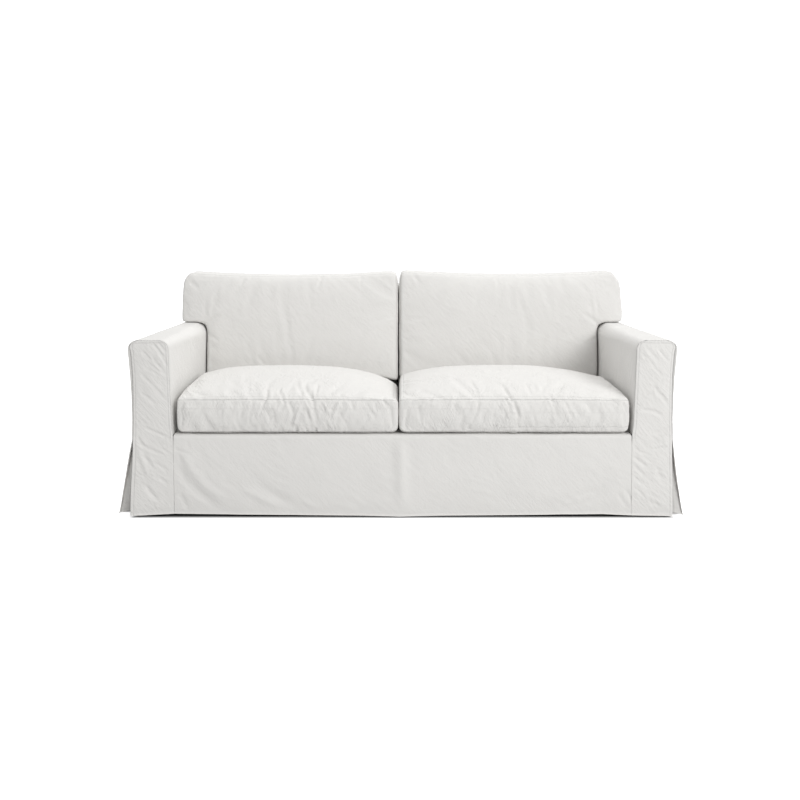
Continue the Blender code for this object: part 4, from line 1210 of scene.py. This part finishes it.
def build_cotton_group():
    """Washed cotton: plain weave with slubs, fine creases, and a row of topstitching."""
    group = bpy.data.node_groups.new("washed_cotton", "ShaderNodeTree")
    for way, sockets in (("INPUT", WEAVE_INPUTS), ("OUTPUT", WEAVE_OUTPUTS)):
        for name, kind, default in sockets:
            made = group.interface.new_socket(name=name, in_out=way, socket_type=f"NodeSocket{kind}")
            if default is not None:
                made.default_value = default
    source = node(group, "NodeGroupInput", (-1600, 0))
    result = node(group, "NodeGroupOutput", (1400, 0))
    cloth = source.outputs["Cloth"]

    # Weave
    parts = node(group, "ShaderNodeSeparateXYZ", (-1400, 400))
    group.links.new(cloth, parts.inputs[0])
    pitch = maths(group, "DIVIDE", (-1400, 250), math.pi, source.outputs["Thread pitch"])
    warp, weft = [maths(group, "SINE", (-1000, place),
                        maths(group, "MULTIPLY", (-1200, place), parts.outputs[axis], pitch))
                  for axis, place in ((0, 450), (1, 300))]
    weave = maths(group, "ABSOLUTE", (-600, 400), maths(group, "MULTIPLY", (-800, 400), warp, weft))

    # Slubs, blotches and creases
    def cloud(scale, detail, place, stretch=(1.0, 1.0, 1.0), turn=None, rough=0.55):
        mapping = node(group, "ShaderNodeMapping", (place[0] - 200, place[1]), vector_type="TEXTURE")
        mapping.inputs["Scale"].default_value = [1.0 / value for value in stretch]
        if turn:
            turned = node(group, "ShaderNodeCombineXYZ", (place[0] - 400, place[1]))
            group.links.new(source.outputs[turn], turned.inputs[2])
            group.links.new(turned.outputs[0], mapping.inputs["Rotation"])
        group.links.new(cloth, mapping.inputs[0])
        made = node(group, "ShaderNodeTexNoise", place)
        set_inputs(made, {"Scale": scale, "Detail": detail, "Roughness": rough})
        group.links.new(mapping.outputs[0], made.inputs["Vector"])
        return made.outputs["Fac"]

    slub_across = cloud(60.0, 3.0, (-1000, 100), (0.5, 6.0, 1.0))
    slub_along = cloud(60.0, 3.0, (-1000, -60), (6.0, 0.5, 1.0))
    blotch = cloud(9.0, 3.0, (-1000, -220))
    crush = cloud(46.0, 3.0, (-1000, -380), (0.55, 1.7, 1.0), "Slant", 0.60)
    grain = cloud(150.0, 2.0, (-1000, -860))

    def crease_set(scale, stretch, turn, place, sharp):
        raw = cloud(scale, 2.0, place, stretch, turn, 0.4)
        centred = maths(group, "ABSOLUTE", (place[0] + 400, place[1]),
                        maths(group, "SUBTRACT", (place[0] + 200, place[1]), raw, 0.5))
        return maths(group, "SUBTRACT", (place[0] + 800, place[1]), 1.0,
                     maths(group, "MULTIPLY", (place[0] + 600, place[1]), centred, sharp), clamp=True)

    slant = crease_set(20.0, (0.8, 4.2, 1.0), "Slant", (-1000, -540), 8.0)
    counter = crease_set(20.0, (0.9, 4.0, 1.0), "Counter slant", (-1000, -700), 8.0)
    patches = maths(group, "MULTIPLY_ADD", (-600, -220), blotch, 3.0, -1.1, clamp=True)

    # Topstitching
    offset = maths(group, "ABSOLUTE", (-1000, 700), source.outputs["Stitch"])
    line = maths(group, "SUBTRACT", (-600, 700), 1.0,
                 maths(group, "DIVIDE", (-800, 700), offset, 0.0009), clamp=True)
    dash = maths(group, "DIVIDE", (-1000, 850), source.outputs["Run"], 0.0042)
    dash = maths(group, "FRACT", (-800, 850), dash)
    dash = maths(group, "LESS_THAN", (-600, 850), dash, 0.74)
    thread = maths(group, "MULTIPLY", (-400, 780), line, dash)
    trough = maths(group, "SUBTRACT", (-600, 560), 1.0,
                   maths(group, "DIVIDE", (-800, 560), offset, 0.0030), clamp=True)

    # Height in metres
    height = maths(group, "MULTIPLY", (-400, 400), weave, 0.00005)
    for value, amount, place in ((slub_across, 0.00001, 300), (slub_along, 0.00001, 200),
                                 (crush, source.outputs["Crush"], 100), (grain, 0.0006, 0),
                                 (thread, 0.0003, 600), (trough, -0.0008, 500)):
        height = maths(group, "MULTIPLY_ADD", (-200, place), value, amount, height)
    folds = maths(group, "MULTIPLY_ADD", (0, -600), counter, source.outputs["Counter share"], slant)
    folds = maths(group, "MULTIPLY", (200, -600), folds, patches)
    folds = maths(group, "MULTIPLY", (400, -600), folds, source.outputs["Crease"])
    height = maths(group, "MULTIPLY_ADD", (600, 0), folds, 0.0007, height)
    bump = node(group, "ShaderNodeBump", (1000, -200))
    set_inputs(bump, {"Strength": 1.0, "Distance": 1.0})
    group.links.new(height, bump.inputs["Height"])
    group.links.new(bump.outputs[0], result.inputs["Normal"])

    # Colour: random blotches and slubs, painted shade in the stitch trough and along seams, and a painted
    # highlight along turned edges
    shade = maths(group, "MULTIPLY_ADD", (400, 300), blotch, 0.05, 0.975)
    shade = maths(group, "SUBTRACT", (500, 200), shade, 0.01)
    shade = maths(group, "MULTIPLY_ADD", (600, 300), slub_across, 0.02, shade)
    # Painted shade in the topstitching's trough.
    shade = maths(group, "MULTIPLY_ADD", (700, 300), trough, -0.10, shade)
    # Near a seam line the colour darkens by a third: the dark joint line, with painted shade in its
    # groove and painted shadows along shadowed edges. Near a turned edge, where the value is below zero,
    # it lightens as a painted highlight.
    near = maths(group, "ABSOLUTE", (200, 500), source.outputs["Seam"])
    near = maths(group, "DIVIDE", (350, 500), near, 0.0034)
    near = maths(group, "SUBTRACT", (500, 500), 1.0, near, clamp=True)
    side = maths(group, "GREATER_THAN", (350, 650), source.outputs["Seam"], 0.0)
    side = maths(group, "MULTIPLY_ADD", (500, 650), side, -0.58, 0.24)
    shade = maths(group, "MULTIPLY_ADD", (800, 400), near, side, shade)
    tinted = node(group, "ShaderNodeMix", (1000, 300), data_type="RGBA", blend_type="MULTIPLY")
    tinted.inputs["Factor"].default_value = 1.0
    group.links.new(source.outputs["Tone"], tinted.inputs[6])
    group.links.new(grey(group, (850, 200), shade), tinted.inputs[7])
    group.links.new(tinted.outputs[2], result.inputs["Color"])
    rough = maths(group, "MULTIPLY_ADD", (1000, 100), slub_along, 0.12, 0.82)
    group.links.new(rough, result.inputs["Roughness"])


def cotton(name, tone, crease, crush, slant=-48.0, counter=40.0, share=0.3):
    made = bpy.data.materials.new(name)
    made.use_nodes = True
    tree = made.node_tree
    shader = tree.nodes["Principled BSDF"]
    set_inputs(shader, {"Metallic": 0.0, "Sheen Weight": 0.12, "Sheen Roughness": 0.6,
                        "Specular IOR Level": 0.25})
    weave = node(tree, "ShaderNodeGroup", (-300, 0), node_tree=bpy.data.node_groups["washed_cotton"])
    set_inputs(weave, {"Tone": (*tone, 1.0), "Crease": crease, "Crush": crush,
                       "Slant": math.radians(slant), "Counter slant": math.radians(counter),
                       "Counter share": share})
    cloth = node(tree, "ShaderNodeUVMap", (-600, 100), uv_map="cloth")
    tree.links.new(cloth.outputs[0], weave.inputs["Cloth"])
    # The seam attribute brings painted shade along seams and shadowed edges, and painted highlights along
    # turned edges.
    for place, socket in ((-50, "Stitch"), (-200, "Run"), (-350, "Seam")):
        value = node(tree, "ShaderNodeAttribute", (-600, place), attribute_name=socket.lower())
        tree.links.new(value.outputs["Fac"], weave.inputs[socket])
    for output, socket in (("Color", "Base Color"), ("Roughness", "Roughness"), ("Normal", "Normal")):
        tree.links.new(weave.outputs[output], shader.inputs[socket])
    made.diffuse_color = (*tone, 1.0)


SHADED = ((1.005, 0.0), (0.462, -0.002))     # half size and middle of the floor's painted shadow, in x and y


def white_paper(tone):
    """Paper with a painted shadow under the object, and a painted glow round it, seen only by the camera,
    that keeps it white; it throws back less light.
    """
    made = bpy.data.materials.new("white_paper")
    made.use_nodes = True
    tree = made.node_tree
    shader = tree.nodes["Principled BSDF"]
    set_inputs(shader, {"Roughness": 0.95, "Specular IOR Level": 0.0, "Emission Strength": 0.9})
    place = node(tree, "ShaderNodeTexCoord", (-1500, 0))
    parts = node(tree, "ShaderNodeSeparateXYZ", (-1300, 0))
    tree.links.new(place.outputs["Object"], parts.inputs[0])
    beyond = []
    for row, (half, middle) in enumerate(SHADED):
        centred = maths(tree, "SUBTRACT", (-1100, -200 * row), parts.outputs[row], middle)
        beyond.append(maths(tree, "SUBTRACT", (-700, -200 * row),
                            maths(tree, "ABSOLUTE", (-900, -200 * row), centred), half))
    away = maths(tree, "MAXIMUM", (-500, -100), *beyond)
    # Away from the object the floor glows for the camera (painted glow); under it the colour is painted
    # dark (painted shadow).
    clear = maths(tree, "DIVIDE", (-350, -100), away, 0.050, clamp=True)
    clear_of_painted_shadow = maths(tree, "MULTIPLY_ADD", (-350, -250), away, 32.0, 0.25, clamp=True)
    seen = node(tree, "ShaderNodeLightPath", (-500, 200))
    glow = maths(tree, "MULTIPLY", (-250, -100), clear, seen.outputs["Is Camera Ray"])
    tree.links.new(grey(tree, (-100, -200), glow), shader.inputs["Emission Color"])
    shaded = node(tree, "ShaderNodeMix", (-300, 300), data_type="RGBA")
    shaded.inputs[6].default_value = (*[0.10 * value for value in tone], 1.0)
    shaded.inputs[7].default_value = (*tone, 1.0)
    tree.links.new(clear_of_painted_shadow, shaded.inputs["Factor"])
    mixed = node(tree, "ShaderNodeMix", (-100, 100), data_type="RGBA")
    mixed.inputs[6].default_value = (*[0.72 * value for value in tone], 1.0)
    tree.links.new(shaded.outputs[2], mixed.inputs[7])
    tree.links.new(seen.outputs["Is Camera Ray"], mixed.inputs["Factor"])
    tree.links.new(mixed.outputs[2], shader.inputs["Base Color"])
    return made


def studio_world(ambient):
    """White behind the object, with a weaker glow that fills the shadows."""
    world = bpy.data.worlds.new("studio")
    world.use_nodes = True
    tree = world.node_tree
    glow = tree.nodes["Background"]
    glow.inputs["Color"].default_value = (1.0, 1.0, 1.0, 1.0)
    seen = node(tree, "ShaderNodeLightPath", (-500, 0))
    strength = maths(tree, "MULTIPLY_ADD", (-250, 0), seen.outputs["Is Camera Ray"],
                     1.2 - ambient, ambient)
    tree.links.new(strength, glow.inputs["Strength"])
    return world


# ---------------------------------------------------------------- add-on

FLOOR_Z = -0.008             # below the hem, which throws its shadow on it
LAMP_AIM = (0.0, 0.0, 0.4)
CAMERA_PLACE = (-0.0092, -3.682, 1.101)
CAMERA_LENS = 38.78          # mm on a sensor 36 mm wide
CAMERA_SHIFT = -0.176
CAMERA_TILT = 2.39           # degrees down
LIGHTS = (("key", (5.0, -6.4, 4.6), 4.0, 412.0), ("top", (0.1, 1.2, 4.0), 3.6, 82.0))


class SlipcoverSizes(bpy.types.PropertyGroup):
    cloth: bpy.props.FloatProperty(
        name="Cloth", description="Thickness of the cloth with its seam allowances",
        default=0.0025, min=0.001, max=0.003, subtype="DISTANCE", unit="LENGTH")
    wrinkles: bpy.props.FloatProperty(
        name="Wrinkles", description="How deep the creases and swells of the washed cloth are",
        default=1.0, min=0.0, max=2.0, subtype="FACTOR")
    pucker: bpy.props.FloatProperty(
        name="Puckers", description="Depth of the gathers beside a row of stitching",
        default=0.0011, min=0.0, max=0.003, subtype="DISTANCE", unit="LENGTH")


class SlipcoverColours(bpy.types.PropertyGroup):
    cover: bpy.props.FloatVectorProperty(
        name="Cover", description="Colour of the cover's cotton",
        default=(0.710, 0.700, 0.680), size=3, min=0.0, max=1.0, subtype="COLOR")
    cushion: bpy.props.FloatVectorProperty(
        name="Cushions", description="Colour of the cushions' cotton",
        default=(0.700, 0.690, 0.670), size=3, min=0.0, max=1.0, subtype="COLOR")
    floor: bpy.props.FloatVectorProperty(
        name="Floor", description="Colour of the studio floor",
        default=(1.0, 1.0, 1.0), size=3, min=0.0, max=1.0, subtype="COLOR")


class SlipcoverLight(bpy.types.PropertyGroup):
    ambient: bpy.props.FloatProperty(
        name="Glow", description="Strength of the even light that fills the shadows",
        default=0.60, min=0.0, max=2.0, subtype="FACTOR")
    key: bpy.props.FloatProperty(
        name="Lamps", description="Strength of the two lamps",
        default=1.0, min=0.0, max=4.0, subtype="FACTOR")


class SLIPCOVER_OT_cloth(bpy.types.Operator):
    """Mixes the cotton of the cover and of the cushions"""
    bl_idname = "slipcover.cloth"
    bl_label = "Mix the cotton"

    def execute(self, context):
        colours = context.scene.slipcover_colours
        context.scene.collection.children.link(bpy.data.collections.new("slipcover"))
        build_cotton_group()
        cotton("cotton_cover", colours.cover, 1.0, 0.0021)
        cotton("cotton_smooth", colours.cover, 0.35, 0.0012)
        cotton("cotton_back_cushion", colours.cushion, 0.30, 0.0012)
        cotton("cotton_seat_cushion", colours.cushion, 1.5, 0.0020, 66.0, 114.0, 1.0)
        return {"FINISHED"}


class SLIPCOVER_OT_skirt(bpy.types.Operator):
    """Lays the front skirt and the deck under the seat cushions"""
    bl_idname = "slipcover.skirt"
    bl_label = "Lay the skirt and deck"

    def execute(self, context):
        lay_front_skirt()
        lay_deck()
        return {"FINISHED"}


class SLIPCOVER_OT_arms(bpy.types.Operator):
    """Sews the front, inner and outer panels of both arms"""
    bl_idname = "slipcover.arms"
    bl_label = "Sew the arms"

    def execute(self, context):
        for side, sign in SIDES.items():
            lay_arm_front(side, sign)
            lay_inner_arm(side, sign)
            lay_outer_arm(side, sign)
        return {"FINISHED"}


class SLIPCOVER_OT_back(bpy.types.Operator):
    """Sews the inside, outside and ends of the back"""
    bl_idname = "slipcover.back"
    bl_label = "Sew the back"

    def execute(self, context):
        lay_inside_back()
        lay_outside_back()
        for side, sign in SIDES.items():
            lay_back_side(side, sign)
        return {"FINISHED"}


class SLIPCOVER_OT_pleats(bpy.types.Operator):
    """Hangs the strips behind the four corner slits"""
    bl_idname = "slipcover.pleats"
    bl_label = "Hang the corner pleats"

    def execute(self, context):
        for side, sign in SIDES.items():
            for end in ("front", "back"):
                lay_corner_pleat(end, side, sign)
        return {"FINISHED"}


class SLIPCOVER_OT_seat_cushions(bpy.types.Operator):
    """Fills the two boxed seat cushions"""
    bl_idname = "slipcover.seat_cushions"
    bl_label = "Fill the seat cushions"

    def execute(self, context):
        for side in SIDES:
            make_seat_cushion(side)
        return {"FINISHED"}


class SLIPCOVER_OT_back_cushions(bpy.types.Operator):
    """Fills the two back cushions that reach over the arms"""
    bl_idname = "slipcover.back_cushions"
    bl_label = "Fill the back cushions"

    def execute(self, context):
        for side, sign in SIDES.items():
            make_back_cushion(side, sign)
        return {"FINISHED"}


class SLIPCOVER_OT_stage(bpy.types.Operator):
    """Sets the pale floor, the studio lights and the camera"""
    bl_idname = "slipcover.stage"
    bl_label = "Set the stage"

    def execute(self, context):
        scene = context.scene
        bpy.ops.object.select_all(action="DESELECT")
        bpy.ops.mesh.primitive_plane_add(size=24.0, location=(0.0, 0.0, FLOOR_Z))
        floor = context.object
        floor.name = "floor"
        floor.data.materials.append(white_paper(scene.slipcover_colours.floor))
        scene.world = studio_world(scene.slipcover_light.ambient)

        for name, place, size, power in LIGHTS:
            light = bpy.data.lights.new(name, "AREA")
            light.size, light.energy = size, power * scene.slipcover_light.key
            lamp = bpy.data.objects.new(name, light)
            lamp.location = place
            aim = Vector(LAMP_AIM) - Vector(place)
            lamp.rotation_euler = aim.to_track_quat("-Z", "Y").to_euler()
            scene.collection.objects.link(lamp)

        camera = bpy.data.cameras.new("camera")
        camera.sensor_width = 36.0
        camera.lens = CAMERA_LENS
        camera.shift_y = CAMERA_SHIFT
        camera.clip_end = 100.0
        eye = bpy.data.objects.new("camera", camera)
        eye.location = CAMERA_PLACE
        eye.rotation_euler = (math.radians(90.0 - CAMERA_TILT), 0.0, 0.0)
        scene.collection.objects.link(eye)
        scene.camera = eye
        scene.view_settings.view_transform = "Standard"
        return {"FINISHED"}


STEPS = (SLIPCOVER_OT_cloth, SLIPCOVER_OT_skirt, SLIPCOVER_OT_arms, SLIPCOVER_OT_back,
         SLIPCOVER_OT_pleats, SLIPCOVER_OT_seat_cushions, SLIPCOVER_OT_back_cushions,
         SLIPCOVER_OT_stage)


class SLIPCOVER_PT_panel(bpy.types.Panel):
    """Sizes, colours and steps of the slipcover"""
    bl_label = "Sofa slipcover"
    bl_idname = "SLIPCOVER_PT_panel"
    bl_space_type = "VIEW_3D"
    bl_region_type = "UI"
    bl_category = "Slipcover"

    def draw(self, context):
        scene = context.scene
        for group in (scene.slipcover_sizes, scene.slipcover_colours, scene.slipcover_light):
            for name in group.__annotations__:
                self.layout.prop(group, name)
        for step in STEPS:
            self.layout.operator(step.bl_idname)


CLASSES = (SlipcoverSizes, SlipcoverColours, SlipcoverLight, *STEPS, SLIPCOVER_PT_panel)


def register():
    for item in CLASSES:
        bpy.utils.register_class(item)
    bpy.types.Scene.slipcover_sizes = bpy.props.PointerProperty(type=SlipcoverSizes)
    bpy.types.Scene.slipcover_colours = bpy.props.PointerProperty(type=SlipcoverColours)
    bpy.types.Scene.slipcover_light = bpy.props.PointerProperty(type=SlipcoverLight)


def unregister():
    del bpy.types.Scene.slipcover_sizes
    del bpy.types.Scene.slipcover_colours
    del bpy.types.Scene.slipcover_light
    for item in reversed(CLASSES):
        bpy.utils.unregister_class(item)


def main():
    register()
    for step in ("cloth", "skirt", "arms", "back", "pleats", "seat_cushions", "back_cushions", "stage"):
        getattr(bpy.ops.slipcover, step)()


if __name__ == "__main__":
    main()
